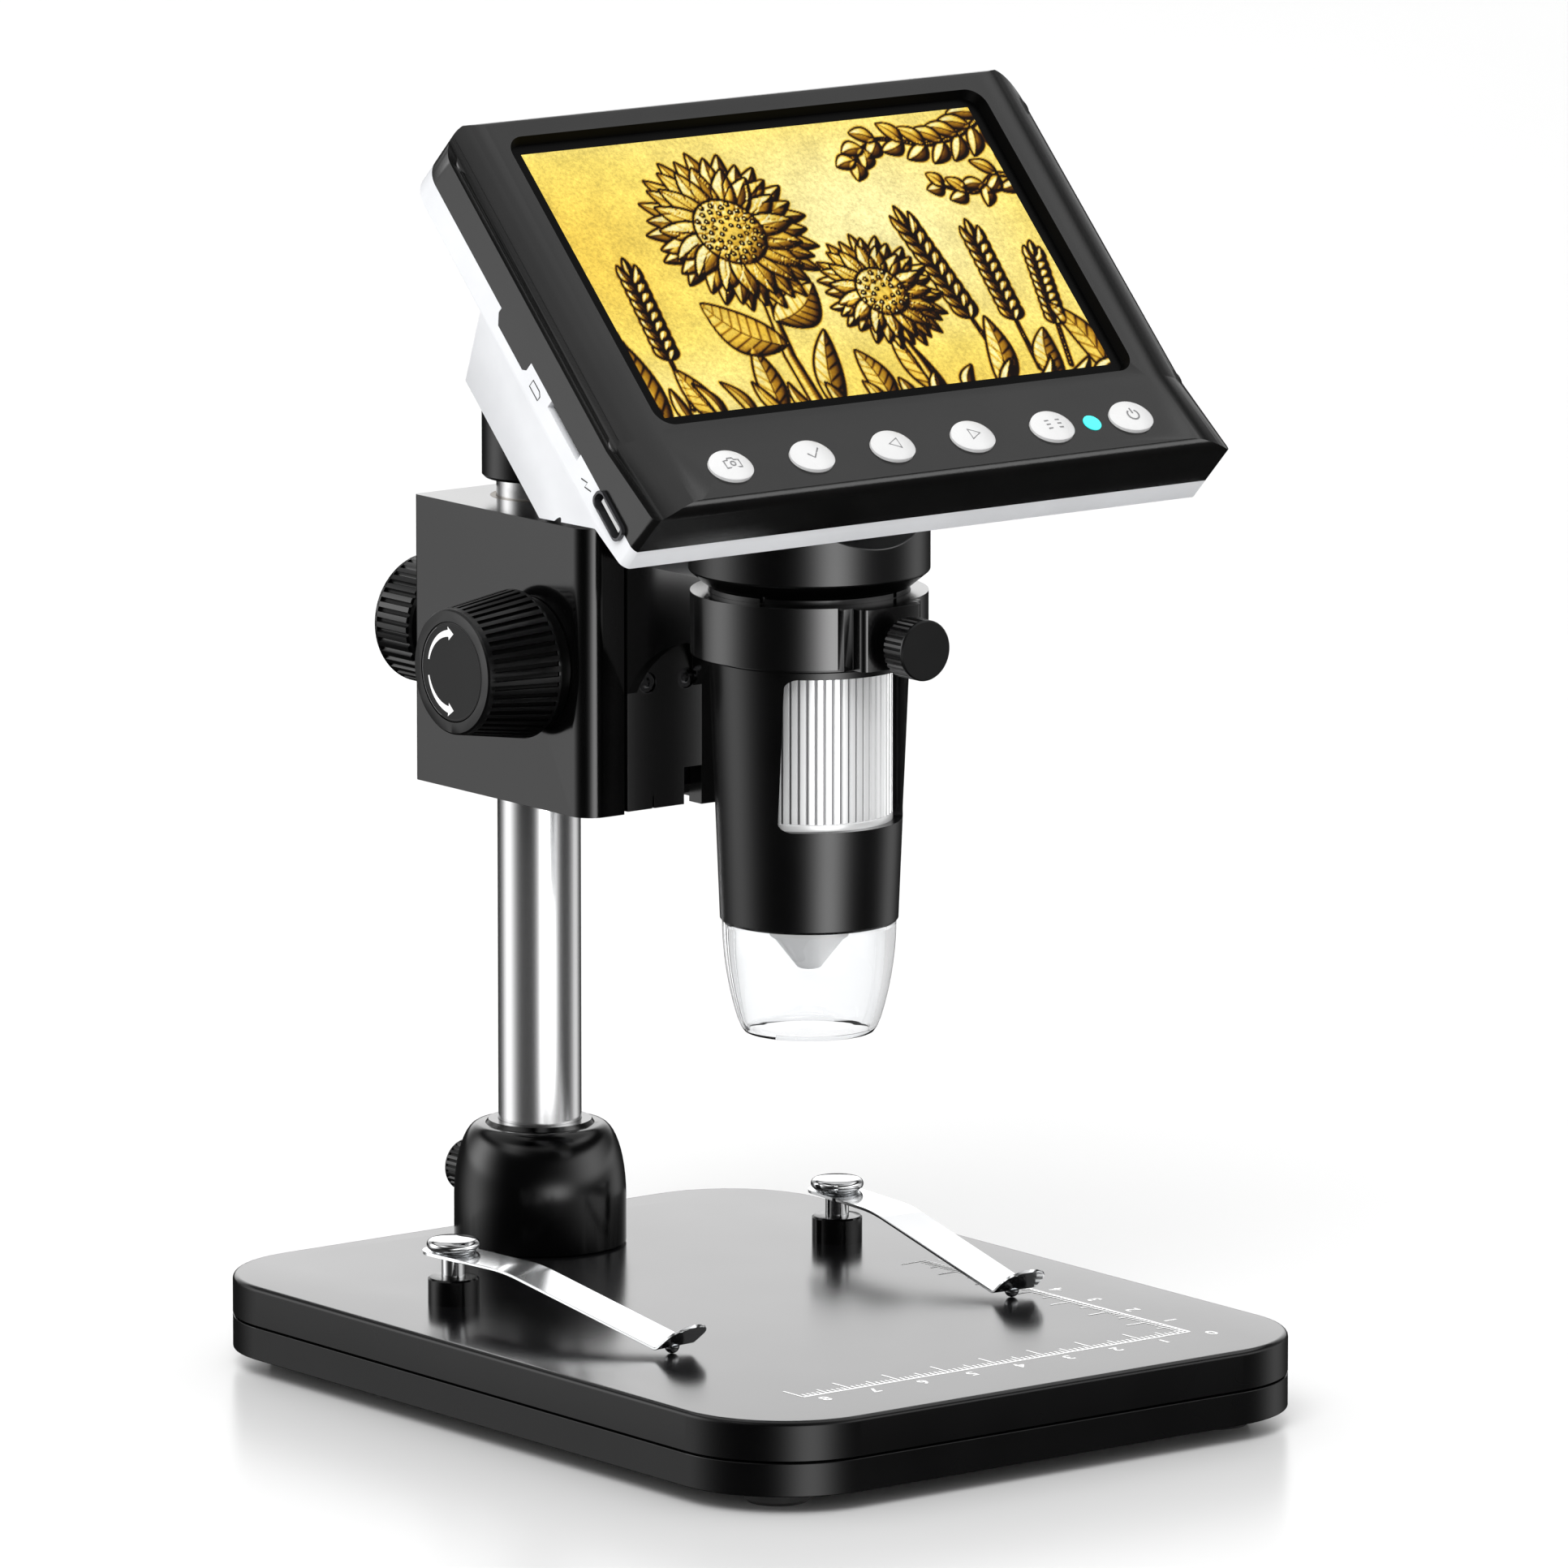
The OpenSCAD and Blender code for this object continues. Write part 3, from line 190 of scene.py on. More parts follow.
# moulded or painted: darkest and lightest tone, gloss from and to, then what differs from the usual grain
mouldedFinishes = {
    # painted light and shade on one moulding: the base top takes a lighter, glossier black and its sides a
    # darker, duller copy that stands in for their shade
    "baseTop": ((0.0025, 0.0028), (0.0045, 0.0048), (0.17, 0.2), {"size": 0.0004, "grain": 0.05}),
    "baseSide": ((0.001, 0.0011), (0.0018, 0.0019), (0.25, 0.29),
        {"size": 0.0003, "grain": 0.08, "shine": 0.22}),
    "frontBlack": (0.003, (0.005, 0.0049, 0.0047), (0.17, 0.21),
        {"size": 0.0003, "depth": 0.00003, "grain": 0.45}),
    "tubeBlack": ((0.0008, 0.0009), (0.0016, 0.0018), (0.23, 0.27), {"size": 0.00025, "grain": 0.08}),
    "ringBlack": ((0.0006, 0.0007), (0.0012, 0.0013), (0.17, 0.2),
        {"size": 0.00025, "grain": 0.05, "shine": 0.85}),
    "socketGloss": ((0.0006, 0.0007), (0.001, 0.0011), (0.15, 0.18), {"grain": 0.03, "shine": 0.36}),
    "knobBlack": ((0.0008, 0.0009), (0.0018, 0.0019), (0.3, 0.36), {"grain": 0.1, "shine": 0.4}),
    "discBlack": ((0.002, 0.0021), (0.0032, 0.0033), (0.34, 0.4), {"shine": 0.24}),
    "blockPaint": ((0.0012, 0.0013), (0.002, 0.0021), (0.13, 0.16),
        {"size": 0.0003, "grain": 0.05, "shine": 0.42}),
    "whitePlastic": ((0.74, 0.75, 0.77), (0.8, 0.81, 0.83), (0.34, 0.4), {"grain": 0.06}),
    "keyWhite": (0.6, 0.66, (0.24, 0.3), {"grain": 0.04}),
    "guideGrey": ((0.055, 0.058), (0.075, 0.078), (0.38, 0.44), {}),
    "rubber": (0.018, 0.028, (0.7, 0.8), {"size": 0.0004, "grain": 0.4}),
    "blackSteel": (0.004, 0.006, (0.24, 0.3),
        {"size": 0.0009, "depth": 0.00002, "grain": 0.08, "Coat_Weight": 0.15, "Coat_Roughness": 0.2}),
    "slotGrey": ((0.075, 0.074, 0.072), (0.095, 0.094, 0.092), (0.35, 0.42), {}),
    # painted shade: the wall of the picture's opening, darker and duller than the bezel round it
    "borderBlack": (0.0005, 0.0009, (0.4, 0.46), {"grain": 0.05, "shine": 0.06}),
    # painted shade: the floors of the left knob's grooves
    "grooveBlack": (0.0006, 0.001, (0.45, 0.52), {"grain": 0.1, "shine": 0.12}),
    "boardGreen": ((0.02, 0.12, 0.05), (0.03, 0.16, 0.07), (0.3, 0.4), {}),
    "ledYellow": ((0.9, 0.78, 0.32), (0.95, 0.85, 0.42), (0.3, 0.4), {}),
    "coneWhite": ((0.88, 0.885, 0.89), (0.92, 0.925, 0.93), (0.25, 0.3), {"grain": 0.05}),
    "printWhite": (0.93, 0.96, (0.45, 0.55), {}),
    "printGrey": ((0.16, 0.165), (0.2, 0.205), (0.45, 0.55), {}),
    "innerBlack": (0.004, 0.006, (0.5, 0.6), {}),
    "screenBorder": (0.0005, 0.0009, (0.25, 0.3), {"grain": 0.01, "shine": 0.05}),
    "lampCyan": ((0.04, 0.72, 0.7), (0.06, 0.8, 0.76), (0.2, 0.3),
        {"grain": 0.02, "Emission_Color": (0.05, 0.85, 0.8), "Emission_Strength": 0.5}),
}
# metal: tone, gloss from and to, then what differs from bare metal
metalFinishes = {
    "chrome": ((0.74, 0.74, 0.745), (0.16, 0.19), {"drawn": (1, 1, 0.05), "Metallic": 0.93}),
    "studChrome": ((0.62, 0.625, 0.63), (0.05, 0.08), {}),
    "clipSteel": ((0.82, 0.83, 0.84), (0.1, 0.15), {"drawn": (1, 0.08, 1)}),
    "wheelSilver": ((0.93, 0.935, 0.94), (0.24, 0.29), {"drawn": (1, 1, 0.1), "Metallic": 0.35}),
    # painted shade: the floors of the focus wheel's grooves, darker than its ribs
    "grooveDark": ((0.16, 0.16, 0.165), (0.35, 0.4), {"Metallic": 0.8}),
    "zincSteel": ((0.6, 0.61, 0.63), (0.28, 0.36), {}),
    "screwSteel": ((0.16, 0.16, 0.165), (0.16, 0.22), {}),
    "darkAluminium": ((0.1, 0.102, 0.105), (0.32, 0.4), {}),
    "brass": ((0.72, 0.53, 0.24), (0.22, 0.3), {}),
    "darkBrass": ((0.1, 0.075, 0.045), (0.3, 0.38), {}),
    "portDark": ((0.07, 0.07, 0.075), (0.16, 0.22), {"Metallic": 0.7}),
    "ballastSteel": ((0.3, 0.3, 0.31), (0.5, 0.6), {}),
    "batteryFoil": ((0.55, 0.56, 0.58), (0.35, 0.45), {}),
}
materials = {key: mouldedPlastic(key, *row[:3], **row[3]) for key, row in mouldedFinishes.items()}
materials.update({key: polishedMetal(key, *row[:2], **row[2]) for key, row in metalFinishes.items()})
materials.update({key: clearPlastic(key) for key in ("clearPlastic", "lensGlass")})
print("materials made")

# what each node of the frame is finished in, and how wide its edges are broken (0 leaves them)
finishOf = {
    # base covers: their sides in the darker black of painted shade
    "base_upper_cover": ("baseSide", 0), "base_lower_cover": ("baseSide", 0.25),
    "base_feet": ("rubber", 0.2), "base_screws": ("zincSteel", 0.12),
    "pole_socket": ("socketGloss", 0.15), "socket_bush": ("ringBlack", 0.12),
    "clip_collars": ("socketGloss", 0.12),
    "pole": ("chrome", 0.15), "pole_cap": ("tubeBlack", 0),
    "focus_block": ("blockPaint", 0.3), "block_bushes": ("darkBrass", 0),
    "height_knob": ("knobBlack", 0.1), "knob_disc": ("discBlack", 0.12),
    "slide_tongue": ("darkAluminium", 0.15), "slide_screws": ("screwSteel", 0.08),
    "clamp_arm": ("ringBlack", 0.25),
    "tube_shell": ("tubeBlack", 0.3), "head_collar": ("tubeBlack", 0.2),
    "lens_cone": ("coneWhite", 0.08),
    "clear_tip": ("clearPlastic", 0), "front_shell": ("frontBlack", 0.5),
    "rear_shell": ("whitePlastic", 0.35), "usb_port": ("portDark", 0.12),
    "card_slot": ("slotGrey", 0.08), "housing_screws": ("blackSteel", 0.1),
    **{"button_" + key: ("keyWhite", 0.12) for key in ("camera", "ok", "left", "right", "menu", "power")},
}
plainFinish = {
    "base_ballast": "ballastSteel", "socket_screws": "zincSteel", "clamp_pad": "brass",
    "clamp_screw": "zincSteel", "pinion_shaft": "zincSteel", "drive_pinion": "brass", "focus_rack": "brass",
    "lens_carrier": "guideGrey", "objective_lens": "lensGlass", "sensor_board": "boardGreen",
    "led_board": "coneWhite", "leds": "ledYellow", "main_board": "boardGreen", "battery": "batteryFoil",
    "button_board": "boardGreen", "lcd_panel": "screenBorder", "indicator_light": "lampCyan",
}


# The piece rides on a body
def carry(obj, body):
    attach(obj, body)
    return obj


# The piece takes the node's body
def place(obj, node):
    return carry(obj, bodyOf[node])


# The piece takes the node's place; edges sharper than the angle stay crisp
def standFor(obj, node, sharp):
    obj.data.set_sharp_from_angle(angle=math.radians(sharp))
    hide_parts(node)
    place(obj, node)


# A mesh under a new object at the origin, with one material
def linkMesh(name, mesh, material):
    mesh.materials.clear()
    mesh.materials.append(material)
    obj = bpy.data.objects.new(name, mesh)
    bpy.context.scene.collection.objects.link(obj)
    return obj


dressSettings = {"merge": 3e-6, "flat": 0.5, "sharp": 32, "segments": 2}


# Points closer than distance become one; flat faces are joined across less than an angle in degrees
def mergePoints(mesh, distance, flat=0):
    work = bmesh.new()
    work.from_mesh(mesh)
    bmesh.ops.remove_doubles(work, verts=work.verts, dist=distance)
    if flat:
        bmesh.ops.dissolve_limit(work, angle_limit=math.radians(flat), verts=work.verts, edges=work.edges)
    work.to_mesh(mesh)
    work.free()


# A merged copy of the node, smooth where it curves, with its sharp edges broken by edge mm
def dress(node, material, edge, s=dressSettings):
    mesh = frame["nodes"][node].data.copy()
    mergePoints(mesh, s["merge"], s["flat"])
    mesh.polygons.foreach_set("use_smooth", np.ones(len(mesh.polygons), bool))
    mesh.set_sharp_from_angle(angle=math.radians(s["sharp"]))
    obj = linkMesh(node + "_finished", mesh, material)
    if edge:
        bevel = obj.modifiers.new("edges", "BEVEL")
        bevel.width, bevel.segments, bevel.limit_method = edge*mm, s["segments"], "ANGLE"
        bevel.angle_limit, bevel.harden_normals = math.radians(s["sharp"]), True
        bevel.use_clamp_overlap = True
    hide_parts(node)
    return place(obj, node)


# round forms: a point on the axis (mm), its direction, nearest and farthest surface from it (mm)
tubeAxis, poleAxis = ((0, -21, 0), (0, 0, 1), 8, 40), ((0, 53, 0), (0, 0, 1), 3, 30)
baseAxes = [((x, y, 0), (0, 0, 1), 12, 20.5) for x in (-39.5, 39.5) for y in (-65.6, 52.4)]
roundForms = {
    **{node: [tubeAxis] for node in ("tube_shell", "head_collar", "clear_tip", "lens_cone")},
    **{node: [poleAxis] for node in ("pole", "pole_cap", "pole_socket", "socket_bush", "block_bushes")},
    "clamp_arm": [tubeAxis, ((0, -1.5, 102.6), (1, 0, 0), 15, 30)],
    "base_upper_cover": baseAxes, "base_lower_cover": baseAxes,
    "focus_block": [((x, 22.4, 0), (0, 0, 1), 2, 4.2) for x in (-12.2, 12.2)],
    "clip_collars": [((x, 23.2, 0), (0, 0, 1), 1, 8) for x in (-40.1, 40.1)],
    "knob_disc": [((0, 33.4, 118.8), (1, 0, 0), 2, 20)],
    "front_shell": [((0, -55.94, 160.34), (1, 0, 0), 1.6, 2.7)],
}
domes = ("pole_socket", "clear_tip", "lens_cone")
windsRound = {"radial": 0.975, "steep": 0.2}        # how well a face must wind round the axis to count


# One attribute of every point, corner or face, as rows of width numbers
def readAll(items, name, width=3, kind=np.float32):
    values = np.empty(len(items)*width, kind)
    items.foreach_get(name, values)
    return values.reshape(-1, width) if width > 1 else values


# Corner normals of faces that wind round an axis: n = h*r + a*d, with r straight out from the axis at the
# corner, a the share along the axis d (the face's own, or on a dome the old normal's), h = sqrt(1 - a^2)
def straightenNormals(mesh, forms, dome):
    normal = readAll(mesh.corner_normals, "vector").astype(float)
    corner = readAll(mesh.vertices, "co")[readAll(mesh.loops, "vertex_index", 1, np.int32)]
    flat, total = readAll(mesh.polygons, "normal"), readAll(mesh.polygons, "loop_total", 1, np.int32)
    owner = np.repeat(np.arange(len(total)), total)
    for point, along, near, far in forms:
        d = np.array(along, float)
        out = corner - np.array(point)*mm
        out = out - (out @ d)[:, None]*d
        reach = np.linalg.norm(out, axis=1)
        ray = out/np.maximum(reach, 1e-9)[:, None]
        faceOut = flat - (flat @ d)[:, None]*d
        slope = np.linalg.norm(faceOut, axis=1)
        faceOut = faceOut/np.maximum(slope, 1e-9)[:, None]
        side = (ray*faceOut[owner]).sum(1)
        good = (np.abs(side) > windsRound["radial"]) & (slope[owner] > windsRound["steep"])
        good = good & (reach > near*mm) & (reach < far*mm)
        whole = np.bincount(owner, good, len(total)) > total - 0.5
        take = whole[owner]
        a = np.clip(normal @ d if dome else (flat @ d)[owner], -0.999, 0.999)
        new = np.sqrt(1 - a*a)[:, None]*np.sign(side)[:, None]*ray + a[:, None]*d
        normal[take] = new[take]
    mesh.normals_split_custom_set(normal.tolist())


# Faces chosen by the rule take a second finish
def finishFaces(obj, key, rule):
    mesh = obj.data
    mesh.materials.append(materials[key])
    chosen = rule(readAll(mesh.polygons, "normal"), readAll(mesh.polygons, "center")/mm)
    mesh.polygons.foreach_set("material_index", chosen.astype(np.int32))
    mesh.update()


openingSettings = {"wide": 49.3, "high": 30.6, "centreV": -0.4, "from": -3, "to": 1.7, "facing": 0.97}
gripSettings = {"face": -19, "y": 33.4, "z": 118.8, "radius": 12.45, "taper": 0.152, "from": 0.3,
                "to": 12.8, "deep": 0.2, "core": 8}


# The wall of the picture's opening, given a painted shade (a darker, duller black than the bezel): inside its
# outline and not facing straight out of the housing
def openingWall(normal, centre, s=openingSettings):
    c, n = math.cos(tilt), math.sin(tilt)
    y, z = centre[:, 1] - headPlace[1], centre[:, 2] - headPlace[2]
    v, w = y*c + z*n, z*c - y*n
    inside = (np.abs(centre[:, 0]) < s["wide"]) & (np.abs(v - s["centreV"]) < s["high"])
    return inside & (w > s["from"]) & (w < s["to"]) & (normal[:, 2]*c - normal[:, 1]*n < s["facing"])


# Floors and ends of the left knob's grooves, given a painted shade (a darker, duller black than the ribs):
# inside the grip's cone r = radius - taper*(distance along it)
def gripGroove(normal, centre, s=gripSettings):
    along = s["face"] - centre[:, 0]
    reach = np.hypot(centre[:, 1] - s["y"], centre[:, 2] - s["z"])
    inside = (reach < s["radius"] - s["taper"]*along - s["deep"]) & (reach > s["core"])
    return inside & (along > s["from"]) & (along < s["to"])


finished = {node: dress(node, materials[key], edge) for node, (key, edge) in finishOf.items()}
graph = bpy.context.evaluated_depsgraph_get()
for node, obj in finished.items():
    mesh = bpy.data.meshes.new_from_object(obj.evaluated_get(graph), preserve_all_data_layers=True,
                                           depsgraph=graph)
    obj.modifiers.clear()
    obj.data = mesh
    if node in roundForms:
        straightenNormals(mesh, roundForms[node], node in domes)
# the base's upward faces take the lighter top black, painted light against the shaded sides
finishFaces(finished["base_upper_cover"], "baseTop", lambda normal, centre: normal[:, 2] > 0.6)
# the opening's wall takes its painted shade
finishFaces(finished["front_shell"], "borderBlack", openingWall)
# the knob's groove floors take their painted shade
finishFaces(finished["height_knob"], "grooveBlack", gripGroove)
finished["clear_tip"].visible_shadow = False
for node, key in plainFinish.items():
    data = frame["nodes"][node].data
    data.materials.clear()
    data.materials.append(materials[key])
print("nodes dressed")


# Quads of a rows x cols grid of points, wrapped round where asked
def gridFaces(rows, cols, closeRows=False, closeCols=False):
    r = np.arange(rows if closeRows else rows - 1)
    c = np.arange(cols if closeCols else cols - 1)
    r, c = np.meshgrid(r, c, indexing="ij")
    r2, c2 = (r + 1) % rows, (c + 1) % cols
    return np.stack([r*cols + c, r*cols + c2, r2*cols + c2, r2*cols + c], -1).reshape(-1, 4)


# A piece from points in metres; where welded, points that coincide at a pole become one
def meshFrom(name, points, faces, material, smooth=True, weld=False):
    mesh = bpy.data.meshes.new(name)
    mesh.from_pydata(points.reshape(-1, 3).tolist(), [], [list(f) for f in faces])
    if weld:
        mergePoints(mesh, 1e-7)
    mesh.polygons.foreach_set("use_smooth", np.full(len(mesh.polygons), smooth))
    mesh.update()
    return linkMesh(name, mesh, material)


# Parts [(points, faces)] joined into one set of points and faces
def joinParts(parts):
    base, faces = 0, []
    for points, part in parts:
        faces += [[base + i for i in face] for face in part]
        base += points.size//3
    return np.vstack([points.reshape(-1, 3) for points, part in parts]), faces


# Turned part: rows of (radius, distance along the axis) from a point, each radius one number or one per angle
def turnedPart(rows, count, start, along=(0, 0, 1), closeRows=False):
    side = (1, 0, 0)
    angle = np.arange(count)*2*math.pi/count
    ring = np.outer(np.cos(angle), side) + np.outer(np.sin(angle), np.cross(along, side))
    points = [np.array(start) + z*np.array(along) + np.broadcast_to(r, count)[:, None]*ring for r, z in rows]
    return np.stack(points)*mm, gridFaces(len(rows), count, closeRows=closeRows, closeCols=True)


# One cut per angle: 0 on a rib, depth in the gaps between, with soft shoulders
def ribCuts(ribs, samples, depth, gap, soft):
    turn = (np.arange(ribs*samples) % samples)/samples
    return depth*(1 - softStep(np.abs(turn - 0.5), gap/2 - soft, gap/2 + soft))


# 0 below low, 1 above high, and 3t^2 - 2t^3 between
def softStep(x, low, high):
    t = np.clip((x - low)/(high - low), 0, 1)
    return t*t*(3 - 2*t)


picture = {
    "width": 91.8, "height": 54.0, "centreV": -0.4, "columns": 418, "rows": 239, "depth": 0.02, "seed": 11,
    "light": (0.495, -0.558, 0.72), "ground": 0.84, "detail": 0.5, "outline": 0.94,
    "middle": 0.62, "darker": 0.02, "contrast": 1.5,
}


# A struck-metal relief worked out on a grid: raised shapes with dark outlines, painted back to front
class Relief:

    def __init__(self, s):
        u = np.linspace(-s["width"]/2, s["width"]/2, s["columns"])
        v = np.linspace(-s["height"]/2, s["height"]/2, s["rows"])
        self.u, self.v = np.meshgrid(u, v)
        self.height, self.line, self.fine = (np.zeros_like(self.u) for layer in range(3))

    # Shape where distance < 0: its height grows from the rim like a dome, its rim is a dark line
    def lay(self, distance, rise, soft, outline=0.28, detail=None):
        inside = distance < 0
        dome = rise*np.sqrt(np.clip(-distance/soft, 0, 1))
        self.height = np.where(inside, self.height*0.35 + dome, self.height)
        self.line = np.where(inside, 0, self.line)
        self.fine = np.where(inside, 0 if detail is None else detail, self.fine)
        self.line = np.maximum(self.line, np.exp(-(distance/outline)**2))

    # Pointed leaf from (cx, cy) along angle: half width = width*sin(pi*t)^0.8, midline bent sideways
    def petal(self, cx, cy, angle, length, width, bend=0, rise=0.9, ribs=0):
        c, s = math.cos(angle), math.sin(angle)
        a = (self.u - cx)*c + (self.v - cy)*s
        b = -(self.u - cx)*s + (self.v - cy)*c
        t = a/length
        share = np.clip(t, 0, 1)
        b = b - bend*length*np.sin(np.pi*share)
        half = width*np.sin(np.pi*share**0.85)**0.8
        over = np.maximum(np.maximum(-a, a - length), 0)
        distance = np.abs(b) - half + over*2
        detail = 0.8*np.exp(-(b/0.16)**2)
        if ribs:
            slant = (t*ribs - np.abs(b)/width*1.1) % 1
            detail = np.maximum(detail, 0.6*np.exp(-((slant - 0.5)/0.13)**2)*softStep(-distance, 0.1, 0.4))
        self.lay(distance, rise, width*0.9, detail=detail)

    # Round boss: distance = distance from (cx, cy) - radius
    def disc(self, cx, cy, radius, rise, soft=None, outline=0.28):
        distance = np.hypot(self.u - cx, self.v - cy) - radius
        self.lay(distance, rise, soft or radius, outline)

    # Rounded cord along a curve, its width tapering to the last point
    def band(self, xs, ys, width, rise=0.7):
        steps = 70
        t = np.linspace(0, 1, len(xs))
        k = np.linspace(0, 1, steps)
        px, py = np.interp(k, t, xs), np.interp(k, t, ys)
        d = np.full_like(self.u, 1e3)
        for x, y, part in zip(px, py, k):
            d = np.minimum(d, np.hypot(self.u - x, self.v - y) - width*(1 - 0.6*part))
        self.lay(d, rise, width)


# Points carried through a cubic spline
def smoothCurve(points, count=40):
    p = np.array(points, float)
    t = np.arange(len(p))
    k = np.linspace(0, len(p) - 1, count)
    i = np.clip(k.astype(int), 0, len(p) - 2)
    f = (k - i)[:, None]
    p0, p1, p2, p3 = p[np.maximum(i - 1, 0)], p[i], p[i + 1], p[np.minimum(i + 2, len(p) - 1)]
    return 0.5*(2*p1 + (p2 - p0)*f + (2*p0 - 5*p1 + 4*p2 - p3)*f**2 + (3*p1 - p0 - 3*p2 + p3)*f**3)


# Sunflowers over wheat and leaves, as if struck on a medal
def drawPicture(s):
    r = Relief(s)
    rand = np.random.default_rng(s["seed"])

    def sprig(points, leaves, size, ribs=0):
        curve = smoothCurve(points)
        r.band(curve[:, 0], curve[:, 1], 0.55)
        for k in np.linspace(0.12, 0.98, leaves):
            i = int(k*(len(curve) - 2))
            x, y = curve[i]
            along = math.atan2(*(curve[i + 1] - curve[i])[::-1])
            for side in (1, -1):
                r.petal(x, y, along + side*(0.75 - 0.25*k), size*(1.1 - 0.45*k), size*0.23, 0.08*side,
                        0.8, ribs)

    def flower(cx, cy, radius, petals, core, turn):
        for ring, reach in ((0, 1), (1, 0.93), (2, 0.82)):
            for k in range(petals):
                a = 2*math.pi*(k + 0.5*ring)/petals + turn + rand.normal(0, 0.03)
                r.petal(cx + 0.45*core*math.cos(a), cy + 0.45*core*math.sin(a), a,
                        reach*radius - 0.45*core, radius*0.135, rand.normal(0, 0.03), 1)
        r.disc(cx, cy, core, 1.3, core*0.7)
        golden = math.pi*(3 - math.sqrt(5))
        seeds = int(core*core*1.15)
        for k in range(seeds, 0, -1):
            d = core*0.94*math.sqrt(k/seeds)
            size = 0.3 + 0.16*math.sqrt(k/seeds)
            r.disc(cx + d*math.cos(k*golden), cy + d*math.sin(k*golden), size, 1.5, outline=0.16)

    def ear(x, y, angle, length, grains):
        c, sn = math.cos(angle), math.sin(angle)
        r.band([x, x + length*c], [y, y + length*sn], 0.35)
        for k in range(grains):
            t = 0.35 + 0.62*k/grains
            gx, gy = x + length*t*c, y + length*t*sn
            for side in (1, -1):
                r.petal(gx, gy, angle + side*0.42, length*0.16, 0.95, 0.12*side, 1)
        r.petal(x + length*0.95*c, y + length*0.95*sn, angle, length*0.15, 0.8)

    sprig([(50, 27), (43, 22.5), (34, 20.5), (24, 22.5), (17, 18)], 9, 6.8)
    sprig([(50, 11), (44, 13), (38, 10), (32, 12)], 5, 5.8)
    for k, (x, lean) in enumerate(((25, 1.7), (31.5, 1.52), (38, 1.36), (-46, 1.74), (-39.5, 1.5))):
        ear(x, -26, lean, 28 + 5*math.sin(2.1*k + 1), 9)
    for k in range(9):
        x = -46 + 11.4*k
        r.petal(x, -30, 1.57 + 0.35*math.sin(1.7*k), 15 + 3*math.cos(2.3*k), 2.6, 0.1*math.sin(3*k), 1, 7)
    r.band([-15, -15.6, -14.4, -14], [-30, -18, -8, 3], 1.3)
    r.band([10, 9, 7.5, 6], [-30, -22, -14, -8], 1)
    r.petal(-15, -16, 2.45, 16, 4.2, 0.12, 1.1, 9)
    r.petal(-14.6, -11, 0.55, 13, 3.6, -0.12, 1.1, 8)
    flower(-14, 7.5, 16.5, 17, 6.6, 0.1)
    flower(9, -7.5, 12, 15, 4.8, 0.35)
    for k in range(16):
        t = k/15
        r.petal(-47 + 94*t, -30, 1.2 + 0.8*math.sin(4.2*t + 0.4), 7.5 + 2*math.sin(9*t), 1.3,
                0.15*math.cos(5*k), 0.9)
    # light from the upper left over the height, then the fine lines and the outlines in dark
    slopeV, slopeU = np.gradient(r.height, s["width"]/(s["columns"] - 1))
    length = np.sqrt(1 + slopeU**2 + slopeV**2)
    lit = (s["light"][0]*slopeU + s["light"][1]*slopeV + s["light"][2])/length
    tone = 0.02 + 0.98*np.clip(lit, 0, 1.4)**1.5 + 0.1*np.clip(r.height, 0, 1.2)
    ground = s["ground"] + 0.1*np.sin(0.05*r.u + 0.9)*np.cos(0.07*r.v - 0.4)
    tone = np.where(r.height < 0.02, ground, tone) - s["detail"]*np.clip(r.fine, 0, 1)
    tone = tone*(1 - s["outline"]*np.clip(r.line, 0, 1))
    return r, np.clip(tone, 0, 1.15)


# Tone 0..1 -> dark brown, bronze, gold, bright yellow (linear light)
def pictureColours(tone, s):
    tone = s["middle"] - s["darker"] + s["contrast"]*(tone - s["middle"])
    stops = np.array([0, 0.22, 0.45, 0.7, 0.9, 1.15])
    colours = np.array([[0.006, 0.002, 0.001], [0.08, 0.024, 0.002], [0.42, 0.19, 0.008],
                        [0.92, 0.58, 0.055], [1.02, 0.79, 0.16], [1.06, 0.98, 0.52]])
    return np.stack([np.interp(tone, stops, colours[:, i]) for i in range(3)], -1)


# Lit picture under glass: the painted colours glow, with a fine mottle and pixel noise
def screenMaterial():
    material, tree, shader = newMaterial("screen_picture", Base_Color=(0.003, 0.003, 0.003), Roughness=0.18,
                                         Emission_Strength=1.0, Specular_IOR_Level=0.02)
    vector, link = objectCoords(tree), tree.links.new
    paint = tree.nodes.new("ShaderNodeAttribute")
    paint.attribute_name = "picture"
    fine = addNode(tree, "ShaderNodeTexNoise", Scale=1500, Detail=4, Roughness=0.75)
    slow = addNode(tree, "ShaderNodeTexNoise", Scale=150, Detail=5, Roughness=0.65)
    grain, mottle = remapNode(tree, (0.3, 0.7, 0.72, 1.26)), remapNode(tree, (0.35, 0.65, 0.84, 1.1))
    product = addNode(tree, "ShaderNodeMath", operation="MULTIPLY")
    mix = addNode(tree, "ShaderNodeVectorMath", operation="SCALE")
    for noise, remap in ((fine, grain), (slow, mottle)):
        link(vector, noise.inputs["Vector"])
        link(noise.outputs["Fac"], remap.inputs["Value"])
    link(grain.outputs["Result"], product.inputs[0])
    link(mottle.outputs["Result"], product.inputs[1])
    link(paint.outputs["Color"], mix.inputs[0])
    link(product.outputs["Value"], mix.inputs["Scale"])
    link(mix.outputs["Vector"], shader.inputs["Emission Color"])
    return material


